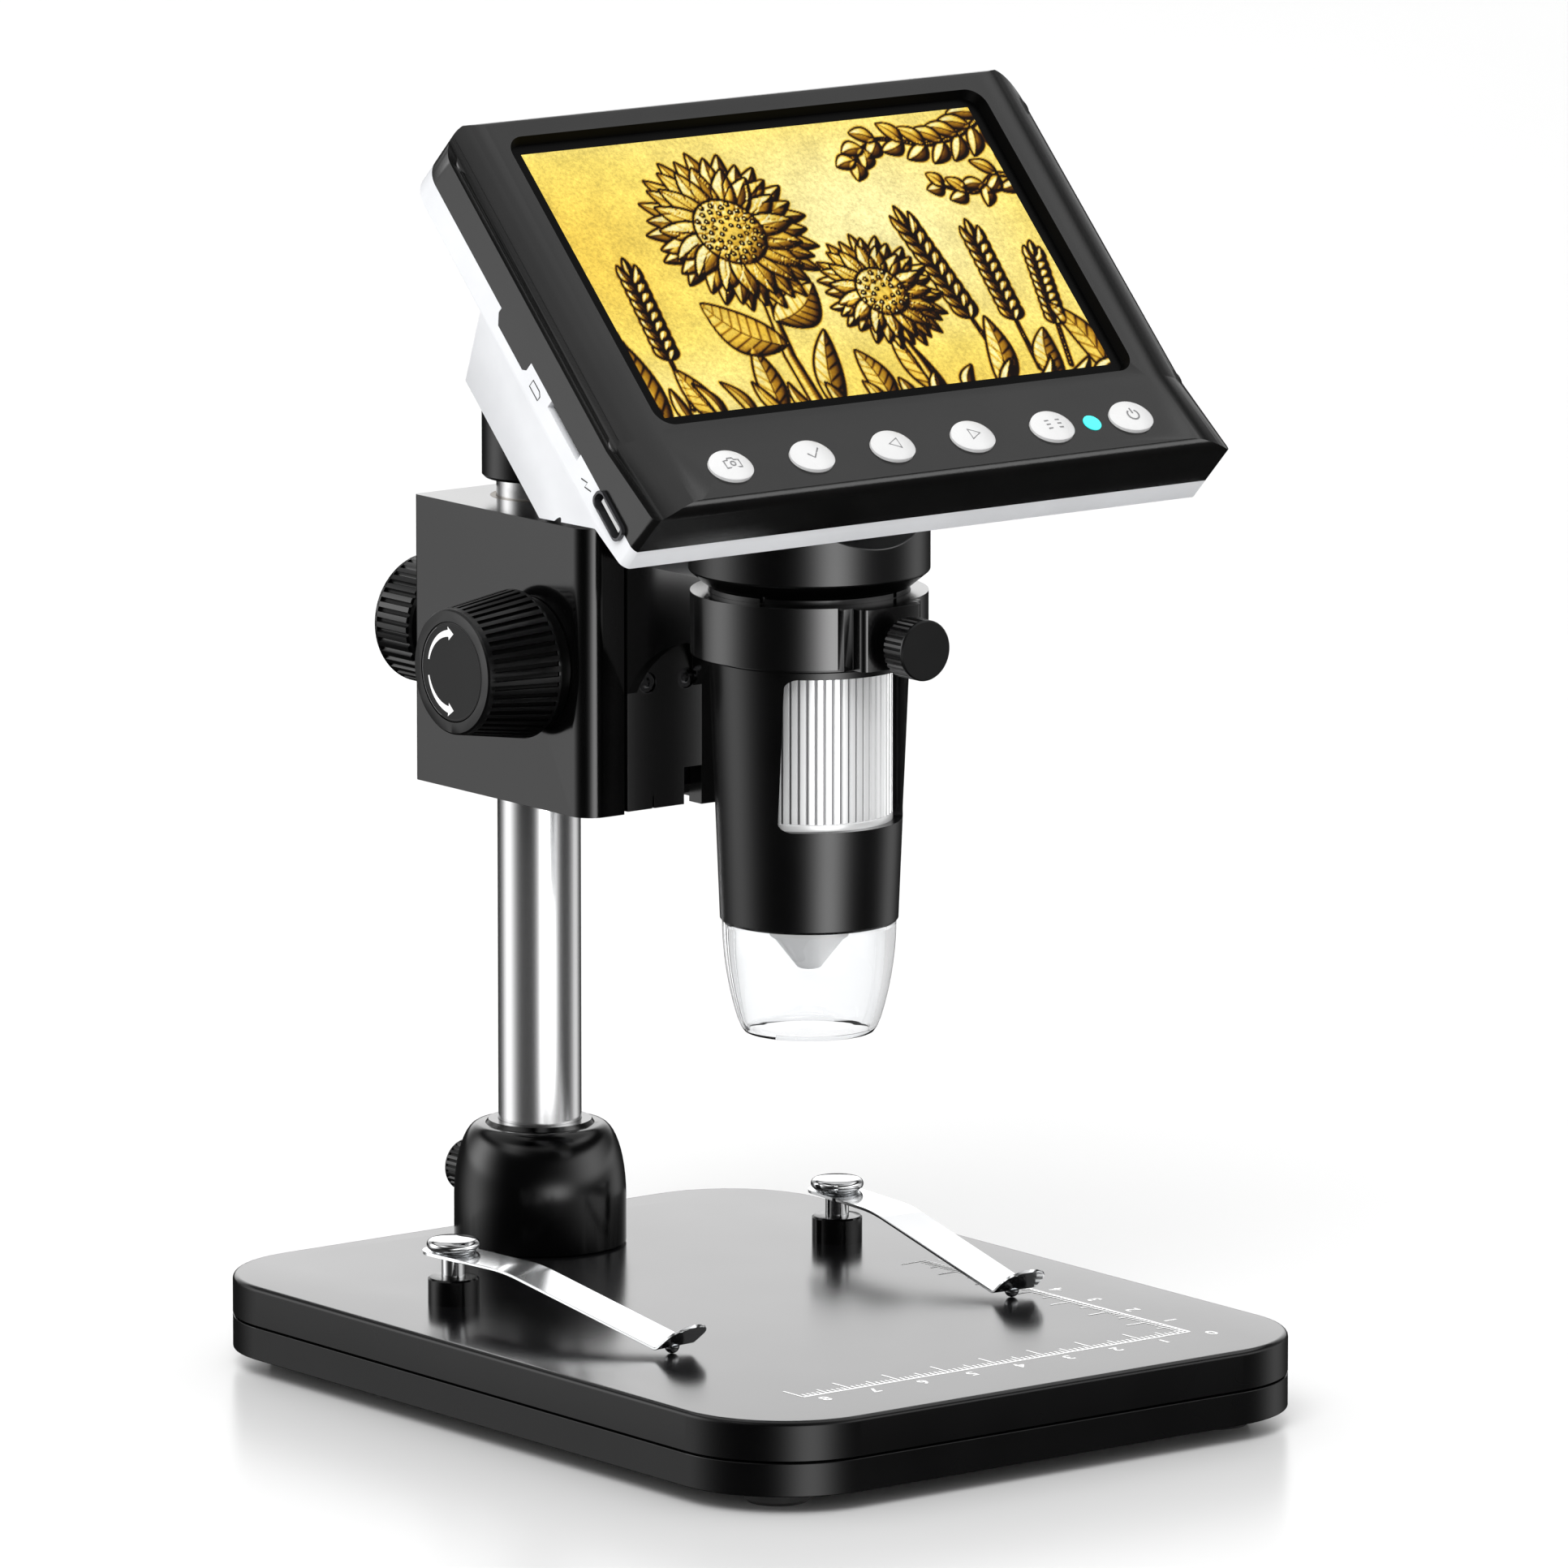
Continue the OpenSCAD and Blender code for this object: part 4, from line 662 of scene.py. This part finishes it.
# The relief's grid laid on the panel, with its colours in an attribute
def makePicture(s):
    relief, tone = drawPicture(s)
    points = headPoint(relief.u, relief.v + s["centreV"], s["depth"])
    obj = meshFrom("screen_picture", points, gridFaces(s["rows"], s["columns"]), screenMaterial(), False)
    colours = np.ones((tone.size, 4), np.float32)
    colours[:, :3] = pictureColours(tone, s).reshape(-1, 3)
    layer = obj.data.color_attributes.new("picture", "FLOAT_COLOR", "POINT")
    layer.data.foreach_set("color", colours.ravel())
    carry(obj, "head")


makePicture(picture)
print("screen made")


# A flat line of given width along 2-D points: each point gives one pair, set out along its normal
def ribbonMesh(points, width, closed=False):
    p = np.array(points, float)
    before = np.roll(p, 1, 0) if closed else np.vstack([p[:1], p[:-1]])
    after = np.roll(p, -1, 0) if closed else np.vstack([p[1:], p[-1:]])
    t = after - before
    t /= np.linalg.norm(t, axis=1, keepdims=True)
    n = np.stack([-t[:, 1], t[:, 0]], 1)*width/2
    return np.stack([p + n, p - n], 1), gridFaces(len(p), 2, closeRows=closed)


# Strokes [(points, width, closed)] in flat mm, set on a face by toFrame(x, y); flip where that mirrors them
def printLines(name, strokes, toFrame, key, body, flip=False):
    parts = []
    for stroke in strokes:
        flat, faces = ribbonMesh(*stroke)
        parts.append((toFrame(flat[..., 0].ravel(), flat[..., 1].ravel()), faces[:, ::-1] if flip else faces))
    carry(meshFrom(name, *joinParts(parts), materials[key], False), body)


# Points of a circle or an arc, angles in degrees
def circlePoints(cx, cy, radius, a0=0, a1=360, count=28):
    a = np.radians(np.linspace(a0, a1, count, endpoint=a1 - a0 < 359))
    return np.stack([cx + radius*np.cos(a), cy + radius*np.sin(a)], 1)


keySettings = {"pitch": 16.4, "d": -8.7/math.cos(chinTilt), "rise": 1.1, "dome": 12, "lift": 0.075,
               "line": 0.27}


# Flat icon axes -> the dome of a key: height falls as on a ball of radius dome
def onKey(index, s=keySettings):
    centre = (index - 2.5)*s["pitch"]

    def put(x, y):
        h = s["rise"] - s["dome"] + np.sqrt(s["dome"]**2 - x**2 - y**2) + s["lift"]
        return chinPoint(centre + x, s["d"] + y, h)
    return put


# Plain signs: camera, tick, two arrows, list and the on/off ring
def keyIcons(s):
    w = s["line"]
    signs = {
        "camera": [([(-1.5, -0.9), (1.5, -0.9), (1.5, 0.7), (0.6, 0.7), (0.35, 1.15), (-0.55, 1.15),
                     (-0.75, 0.7), (-1.5, 0.7)], w, True), (circlePoints(0, -0.1, 0.45), w*0.8, True)],
        "ok": [([(-1.3, 0.05), (-0.35, -0.95), (1.4, 1.1)], w, False)],
        "left": [([(0.9, 1.1), (-1.1, 0), (0.9, -1.1)], w, True)],
        "right": [([(-0.9, 1.1), (1.1, 0), (-0.9, -1.1)], w, True)],
        "menu": [([(-1.5, y), (1.5, y)], w, False) for y in (-0.85, 0, 0.85)],
        "power": [(circlePoints(0, -0.1, 1.05, 125, 415), w, False), ([(0, 0.1), (0, 1.35)], w, False)],
    }
    for index, (name, strokes) in enumerate(signs.items()):
        printLines("sign_" + name, strokes, onKey(index), "printGrey", "key_" + name)


keyIcons(keySettings)

scaleSettings = {
    "corner": (41.7, -69), "top": 15.4, "lift": 0.02, "line": 0.42, "spine": 0.62, "bold": 0.09,
    "tick": 1.7, "half": 2.9, "centimetre": 5.2, "across": 80, "along": 70, "numeral": 3.5, "layer": 0.012,
}


# Two centimetre scales from one corner: a spine each, ticks inwards, numerals outwards
def stageScale(s):
    (x0, y0), across, along, tick = s["corner"], s["across"], s["along"], s["tick"]
    reach = {0: s["centimetre"], 5: s["half"]}
    lines = {
        "spine": [((x0, y0), (x0 - across, y0)), ((x0, y0), (x0, y0 + along))],
        "across": [((x0 - k, y0), (x0 - k, y0 + reach.get(k % 10, tick))) for k in range(across + 1)],
        "along": [((x0, y0 + k), (x0 - reach.get(k % 10, tick), y0 + k)) for k in range(along + 1)],
    }
    z = s["top"] + s["lift"]
    for index, (name, part) in enumerate(lines.items()):
        width = s["line" if index else "spine"]
        level = z + index*s["layer"]        # each kind lies a hair above the last, so none coincide
        printLines("stage_scale_" + name, [(points, width, False) for points in part],
                   lambda x, y: np.stack([x, y, np.full_like(x, level)], -1)*mm,
                   "printWhite", "stand")
    places = [("0", x0 + 2.4, y0 - 2.6, 180)]
    places += [(str(k), x0 - 10*k + 2.2, y0 - 2.9, 180) for k in range(1, across//10 + 1)]
    places += [(str(k), x0 + 3.2, y0 + 10*k - 1.2, 90) for k in range(1, along//10 + 1)]
    for index, (text, x, y, turn) in enumerate(places):
        curve = bpy.data.curves.new("numeral", "FONT")
        curve.body, curve.size, curve.align_x, curve.align_y = text, s["numeral"], "CENTER", "CENTER"
        curve.resolution_u, curve.offset = 4, s["bold"]
        flat = bpy.data.objects.new("numeral_flat", curve)
        mesh = bpy.data.meshes.new_from_object(flat)
        bpy.data.objects.remove(flat)
        mesh.transform(Matrix.Translation((x*mm, y*mm, z*mm)) @ Matrix.Rotation(math.radians(turn), 4, "Z")
                       @ Matrix.Scale(mm, 4))
        carry(linkMesh(f"numeral_{index}", mesh, materials["printWhite"]), "stand")


stageScale(scaleSettings)

knobSettings = {"y": 33.4, "z": 118.8, "x": -32.53, "ring": 6.45, "thin": 0.35, "thick": 1.15, "start": 168,
                "neck": 98, "tip": 85, "head": 2.3, "rim": 7.9, "groove": 0.13, "steps": 22}


# Two arrows that part from the front of the disc and thicken to their heads, in an engraved ring drawn as a
# dark line of painted shade, edged in part by a grey painted highlight
def knobMarks(s):
    def put(a, b):
        return np.stack([np.full_like(a, s["x"]), s["y"] - a, s["z"] + b], -1)*mm
    # the engraved ring's groove as a dark line of painted shade, and a thinner grey line of painted highlight
    # on part of its outer edge
    groove = [(circlePoints(0, 0, s["rim"], count=96), s["groove"], True)]
    paintedHighlight = [(circlePoints(0, 0, s["rim"] + s["groove"], 120, 250, 40), s["groove"]*0.5, False)]
    printLines("knob_groove_shade", groove, put, "innerBlack", "height_drive")
    printLines("knob_painted_highlight", paintedHighlight, put, "printGrey", "height_drive")
    n, ring = s["steps"], s["ring"]
    angles = np.radians(np.linspace(s["start"], s["neck"], n))
    half = np.linspace(s["thin"], s["thick"], n)/2
    reach = np.stack([ring - half, ring + half], 1)
    tips = np.array([[ring - s["head"]/2, s["neck"]], [ring + s["head"]/2, s["neck"]], [ring, s["tip"]]])
    reach, turn = np.append(reach, tips[:, 0]), np.append(np.repeat(angles, 2), np.radians(tips[:, 1]))
    for side in (1, -1):
        faces = gridFaces(n, 2)[:, ::-side].tolist() + [[2*n, 2*n + 1, 2*n + 2][::-side]]
        arrow = meshFrom("knob_arrow", put(reach*np.cos(turn), side*reach*np.sin(turn)), faces,
                         materials["printWhite"], False)
        place(arrow, "knob_disc")


knobMarks(knobSettings)

sideSettings = {"x": -59.03, "line": 0.24, "card": (-12.9, -9.35), "power": (-32.1, -9.45)}


# Small plain signs beside the two openings: a card with a cut corner, and a bolt
def sideSigns(s):
    def put(a, b):
        return headPoint(np.full_like(a, s["x"]), a, b)
    v, w = s["card"]
    card = [(v + 1.5, w - 0.75), (v + 1.5, w + 0.75), (v - 0.8, w + 0.75), (v - 1.5, w + 0.2),
            (v - 1.5, w - 0.75)]
    v, w = s["power"]
    bolt = [(v + 1.6, w - 0.25), (v + 0.1, w + 0.55), (v + 0.05, w - 0.5), (v - 1.5, w + 0.3)]
    printLines("side_signs", [(card, s["line"], True), (bolt, s["line"], False)], put, "innerBlack",
               "head", flip=True)


sideSigns(sideSettings)

tongueSettings = {"x": -58.9, "depth": 5, "v": -39.5, "w": -7.8, "long": 6.3, "thick": 0.78}


# Pale contact tongue inside the charging port: a plain bar along the opening
def portTongue(s):
    x = np.array([s["x"], s["x"] + s["depth"]])
    v = s["v"] + np.array([-1, 1])*s["long"]/2
    w = s["w"] + np.array([-1, 1])*s["thick"]/2
    points = np.array([headPoint(a, b, c) for a in x for b in v for c in w])
    faces = [[0, 1, 3, 2], [4, 6, 7, 5], [0, 4, 5, 1], [2, 3, 7, 6], [0, 2, 6, 4], [1, 5, 7, 3]]
    place(meshFrom("port_tongue", points, faces, materials["keyWhite"], False), "usb_port")


portTongue(tongueSettings)

wheelSettings = {"radius": 13.65, "flange": 13.7, "bore": 11.6, "low": 97.6, "high": 125.58, "lower": 2.4,
                 "upper": 1.5, "ribs": 60, "depth": 0.32, "groove": 0.3, "samples": 10}


# Ribbed wheel: r = radius - depth*step(rib angle), a plain flange at each end, flat ends to the bore
def makeWheel(s):
    count, low, high, flange = s["ribs"]*s["samples"], s["low"], s["high"], s["flange"]
    cut = ribCuts(s["ribs"], s["samples"], s["depth"], s["groove"], 0.06)
    rows = [(s["bore"], low), (flange - 0.25, low), (flange, low + 0.25), (flange, low + s["lower"] - 0.15),
            (flange - 0.15, low + s["lower"]), (s["radius"] - cut, low + s["lower"] + 0.02),
            (s["radius"] - cut, high - s["upper"]), (flange, high - s["upper"] + 0.02), (flange, high - 0.2),
            (flange - 0.2, high), (s["bore"], high)]
    points, faces = turnedPart(rows, count, (0, -21, 0), closeRows=True)
    obj = meshFrom("focus_wheel_ribbed", points, faces, materials["wheelSilver"])
    # the deep groove floors take a darker metal as painted shade
    obj.data.materials.append(materials["grooveDark"])
    row, col = np.arange(len(faces))//count, np.arange(len(faces)) % count
    deep = (row == 5) & (cut[col] > 0.5*s["depth"]) & (cut[(col + 1) % count] > 0.5*s["depth"])
    obj.data.polygons.foreach_set("material_index", deep.astype(np.int32))
    standFor(obj, "focus_wheel", 28)


makeWheel(wheelSettings)

# turned screws and knobs: a point on the axis at the outer face, the way in from it, then lengths in mm
thumbScrew = {"front": 0.45, "shoulder": 0.25, "gap": 0.26, "neck": 2}
ribbedSettings = {
    "clamp_knob": {"place": (0, 85.6, 117.7), "in": (0, -1, 0), "radius": 11, "front": 1.2, "shoulder": 1.6,
                   "grip": 8.85, "ribs": 40, "depth": 0.55, "gap": 0.3, "neck": 8.4, "neckLength": 8.6},
    "ring_thumb_screw": {**thumbScrew, "place": (0, -51.9, 130.7), "in": (0, 1, 0), "radius": 5,
                         "grip": 4.35, "ribs": 32, "depth": 0.28, "neckLength": 9},
    "socket_thumb_screw": {**thumbScrew, "place": (0, 74.1, 25.1), "in": (0, -1, 0), "radius": 4.5,
                           "grip": 4.15, "ribs": 28, "depth": 0.26, "neckLength": 8.9},
}


# A round head turned about its axis: a plain front rim, a grip r = radius - depth*step(rib angle), a neck
def makeRibbed(node, s, samples=8):
    cut = ribCuts(s["ribs"], samples, s["depth"], s["gap"], 0.07)
    r, edge, low, high = s["radius"], s["shoulder"], s["front"], s["front"] + s["grip"]
    back, end = high + 0.5, high + 0.5 + s["neckLength"]
    rows = [(0, 0), (r - edge, 0), (r - 0.08*edge, 0.8*edge), (r, 1.1*edge), (r, low + 0.02),
            (r - cut, low + 0.06), (r - cut, high), (r - s["depth"], high + 0.05), (r - 0.9, back),
            (s["neck"], back), (s["neck"], end), (0, end)]
    points, faces = turnedPart(rows, s["ribs"]*samples, s["place"], s["in"])
    obj = meshFrom(node + "_ribbed", points, faces, materials["knobBlack"], weld=True)
    standFor(obj, node, 30)


clipSettings = {
    "post": (40.1, 23.2), "lean": 5.15, "half": 4.1, "thick": 0.5, "height": 23.7, "hole": 2.1, "start": -1.5,
    "ribbon": 6, "bendStart": 13.5, "bendRadius": 36, "bendAngle": 10.7, "fold": 53.6, "foldRadius": 1.6,
    "lipAngle": 38, "lip": 6, "round": 3.9, "foot": 1.25, "break": 0.1, "count": 96,
}


# The strip's middle line as (distance, height, slope): flat, an arc down, a straight fall, a fold, a lip
def clipPath(s):
    b, r, q = math.radians(s["bendAngle"]), s["bendRadius"], s["foldRadius"]
    drop = s["bendStart"] + r*math.sin(b)
    start = s["fold"] - q*math.sin(b)
    low = s["height"] - r*(1 - math.cos(b)) - (start - drop)*math.tan(b)
    a = np.linspace(0, b, 9)
    flat = [[s["ribbon"], s["height"], 0]]
    arc = np.stack([s["bendStart"] + r*np.sin(a), s["height"] - r*(1 - np.cos(a)), -a], 1)
    a = np.linspace(-b, math.radians(s["lipAngle"]), 12)
    fold = np.stack([s["fold"] + q*np.sin(a), low + q*(math.cos(b) - np.cos(a)), a], 1)
    t = s["lip"]*np.sin(np.linspace(0, math.pi/2, 60))[1:]
    lip = np.stack([fold[-1, 0] + t*math.cos(a[-1]), fold[-1, 1] + t*math.sin(a[-1]), a[-1] + 0*t], 1)
    u = np.clip((t - s["lip"] + s["round"])/s["round"], 0, 1)
    width = np.maximum(s["half"]*np.sqrt(np.maximum(1 - u**2.4, 0)), 0.03)
    path = np.vstack([flat, arc, fold, lip])
    return path, np.concatenate([np.full(len(path) - len(lip), s["half"]), width]), low


# Spring strip: a plate with its hole at the post, a ribbon of rounded section along the path, and a foot
def makeClip(node, side, s):
    path, half, low = clipPath(s)
    t, c = s["thick"]/2, s["break"]
    across = np.array([-1, -1, -1, 1, 1, 1, 1, -1])
    inset = np.array([0, 0, 1, 1, 0, 0, 1, 1])*c
    up = np.array([-(t - c), t - c, t, t, t - c, -(t - c), -t, -t])
    y, z, slope = path[:, 0:1], path[:, 1:2], path[:, 2:3]
    ribbon = np.stack([across*np.maximum(half[:, None] - inset, 0.02), -(y - up*np.sin(slope)),
                       z + up*np.cos(slope)], -1)
    last = 8*len(path)
    faces = gridFaces(len(path), 8, closeCols=True)[:, ::-1].tolist()
    faces += [list(range(8)), list(range(last - 1, last - 9, -1))]      # both ends closed
    parts = [(ribbon, faces)]
    # plate: rings from the hole out to a half circle, two sides and the ribbon's first line
    count = s["count"]
    angle = np.arange(count)*2*math.pi/count
    dx, dy = np.cos(angle), np.sin(angle)
    reach = s["half"]/np.maximum(np.abs(dx), 1e-6)
    reach = np.where(dy < 0, np.minimum(reach, s["ribbon"]/np.maximum(-dy, 1e-6)), reach)
    o = -s["start"]
    disc = dy*o + np.sqrt(np.maximum((dy*o)**2 - (o*o - s["half"]**2), 0))
    reach = np.where(disc*dy > o, disc, reach)
    rows = [np.stack([r*dx, r*dy, np.full(count, s["height"] + level)], -1)
            for r, level in ((s["hole"], -t), (s["hole"], t), (reach, t), (reach, -t))]
    parts.append((np.stack(rows), gridFaces(4, count, closeRows=True, closeCols=True)[:, ::-1]))
    # the foot is the lower half of a ball, closed by a flat inside the strip
    a = np.linspace(-math.pi/2, 0, 12)
    rows = [(s["foot"]*math.cos(b), s["foot"]*math.sin(b)) for b in a] + [(0, 0)]
    foot, faces = turnedPart(rows, 24, (0, -s["fold"], low - 0.15))
    points, faces = joinParts(parts + [(foot/mm, faces)])
    lean = math.radians(-side*s["lean"])
    x = points[:, 0]*math.cos(lean) - points[:, 1]*math.sin(lean) + side*s["post"][0]
    y = points[:, 0]*math.sin(lean) + points[:, 1]*math.cos(lean) + s["post"][1]
    points = np.stack([x, y, points[:, 2]], -1)*mm
    obj = meshFrom(node + "_strip", points, faces, materials["clipSteel"], weld=True)
    standFor(obj, node, 30)


for node, ribbed in ribbedSettings.items():
    makeRibbed(node, ribbed)
makeClip("spring_clip_left", -1, clipSettings)
makeClip("spring_clip_right", 1, clipSettings)

studSettings = {"x": (-40.1, 40.1), "y": 23.2, "low": 11, "shank": 2, "head": 3.5, "inset": 0.15,
                "edge": 0.95, "seat": 23.98, "middle": 1.15, "rim": 2.3, "crown": 2.4, "flat": 2.5,
                "count": 96}


# Headed studs: a shank, a rounded rim of radius edge and an almost flat crown, turned about z
def makeStuds(s):
    seat, rim = s["seat"], np.radians(np.linspace(-90, 90, 17))
    r = np.concatenate([[0, s["shank"], s["shank"], s["head"] - s["inset"]],
                        s["head"] + s["edge"]*np.cos(rim), [s["flat"], 0]])
    z = np.concatenate([[s["low"], s["low"], seat, seat], seat + s["middle"] + s["edge"]*np.sin(rim),
                        [seat + s["rim"], seat + s["crown"]]])
    rows = list(zip(r, z))
    studs = [turnedPart(rows, s["count"], (x, s["y"], 0)) for x in s["x"]]
    obj = meshFrom("clip_studs_turned", *joinParts(studs), materials["studChrome"], weld=True)
    standFor(obj, "clip_studs", 40)


makeStuds(studSettings)
print("marks printed, turned pieces made")


floorSettings = {"size": 6, "tone": (0.68, 0.68, 0.68), "gloss": 0.26, "wander": 0.02, "shine": 0.13,
                 "drop": 0.00002}


# A square just under the feet
def makeFloor(s):
    material, tree, shader = newMaterial("floor_white", Base_Color=s["tone"], Roughness=s["gloss"],
                                         Specular_IOR_Level=s["shine"])
    noiseRoughness(tree, shader, objectCoords(tree), 3, s["gloss"] - s["wander"], s["gloss"] + s["wander"])
    h, z = s["size"]/2, -s["drop"]
    points = np.array([[-h, -h, z], [h, -h, z], [h, h, z], [-h, h, z]])
    floor = meshFrom("floor", points, [[0, 1, 2, 3]], material, False)
    floor.visible_glossy = False        # the studio's own gradient is what the gloss shows


lightSettings = {"place": (-1.3, -1.1, 1.9), "aim": (0, 0, 0.1), "size": (1.2, 1.2), "power": 34}


# One soft box that lights the matt finishes and is left out of the gloss
def makeLight(s):
    data = bpy.data.lights.new("key_box", "AREA")
    data.shape, data.size, data.size_y, data.energy = "RECTANGLE", *s["size"], s["power"]
    lamp = bpy.data.objects.new("key_box", data)
    lamp.location = s["place"]
    lamp.rotation_euler = (Vector(s["aim"]) - lamp.location).to_track_quat("-Z", "Y").to_euler()
    lamp.visible_camera = lamp.visible_glossy = False
    bpy.context.scene.collection.objects.link(lamp)


# soft boxes seen in the gloss: compass angle, spread in degrees, brightness, lowest and highest sine
studioSettings = {
    "boxes": [(138, 16, 1.75, -0.27, 0.5), (257, 13.5, 5.6, -0.4, 0.02),
              (352, 13, 0.9, -0.4, 0.1), (57, 19, 2, 0.08, 0.5),
              (310, 22, 3, 0.01, 0.38), (214, 32, -0.95, 0.7, 0.93),
              (183, 14, 1.6, 0.48, 0.7), (135, 15, 2.4, 0.05, 0.45),
              (323, 20, 1.2, 0.63, 0.76)],
    "edge": 0.05, "dark": 0.022, "ceiling": 0.85, "ceilingFrom": (0.55, 0.72),
    "ground": 0.42, "sky": 1.05, "skyFrom": (-0.5, 0.3),
}


# Gloss sees soft boxes, each a bell of the compass angle between two heights, and a ceiling
def makeWorld(s):
    world = bpy.data.worlds.new("studio")
    world.use_nodes = True
    tree = world.node_tree
    link = tree.links.new
    background = tree.nodes["Background"]
    direction = tree.nodes.new("ShaderNodeTexCoord").outputs["Generated"]
    split = tree.nodes.new("ShaderNodeSeparateXYZ")
    link(direction, split.inputs["Vector"])

    def vectorMath(operation, source, other=(0, 0, 0)):
        node = addNode(tree, "ShaderNodeVectorMath", operation=operation)
        node.inputs[1].default_value = other
        link(source, node.inputs[0])
        return node.outputs

    flat = vectorMath("MULTIPLY", direction, (1, 1, 0))["Vector"]
    unit = vectorMath("NORMALIZE", flat)["Vector"]

    def calc(operation, a, b=None):
        node = addNode(tree, "ShaderNodeMath", operation=operation)
        for socket, value in zip(node.inputs, (a, b)):
            if isinstance(value, (int, float)):
                socket.default_value = value
            elif value is not None:
                link(value, socket)
        return node.outputs["Value"]

    # brightness * exp((cos(turn from the angle) - 1) / spread^2)
    def bell(angle, spread, brightness):
        a, k = math.radians(angle), 1/math.radians(spread)**2
        cosine = vectorMath("DOT_PRODUCT", unit, (math.cos(a), math.sin(a), 0))["Value"]
        return calc("MULTIPLY", calc("EXPONENT", calc("MULTIPLY", cosine, k)), brightness*math.exp(-k))

    # a below the sine low, b above high, soft between
    def rise(low, high, a, b):
        node = remapNode(tree, (low, high, a, b), interpolation_type="SMOOTHSTEP")
        link(split.outputs["Z"], node.inputs["Value"])
        return node.outputs["Result"]

    e, total = s["edge"], s["dark"]
    for angle, spread, brightness, low, high in s["boxes"]:
        box = calc("MULTIPLY", bell(angle, spread, brightness), rise(low - e, low + e, 0, 1))
        total = calc("ADD", calc("MULTIPLY", box, rise(high - e, high + e, 1, 0)), total)
    total = calc("ADD", total, rise(*s["ceilingFrom"], 0, s["ceiling"]))
    gloss = addNode(tree, "ShaderNodeBackground", Color=(1, 1, 1, 1))
    link(total, gloss.inputs["Strength"])
    background.inputs["Color"].default_value = (1, 1, 1, 1)
    link(rise(*s["skyFrom"], s["ground"], s["sky"]), background.inputs["Strength"])
    white = addNode(tree, "ShaderNodeBackground", Color=(1, 1, 1, 1))
    rays = tree.nodes.new("ShaderNodeLightPath")
    seen = calc("MAXIMUM", rays.outputs["Is Camera Ray"], rays.outputs["Is Transmission Ray"])
    shown = background
    for share, other in ((rays.outputs["Is Glossy Ray"], gloss), (seen, white)):
        mix = tree.nodes.new("ShaderNodeMixShader")
        for socket, source in zip(mix.inputs, (share, shown.outputs[0], other.outputs[0])):
            link(source, socket)
        shown = mix
    link(shown.outputs[0], tree.nodes["World Output"].inputs["Surface"])
    bpy.context.scene.world = world


makeFloor(floorSettings)
makeLight(lightSettings)
makeWorld(studioSettings)
bpy.context.scene.view_settings.view_transform = "Standard"
print("stage made")
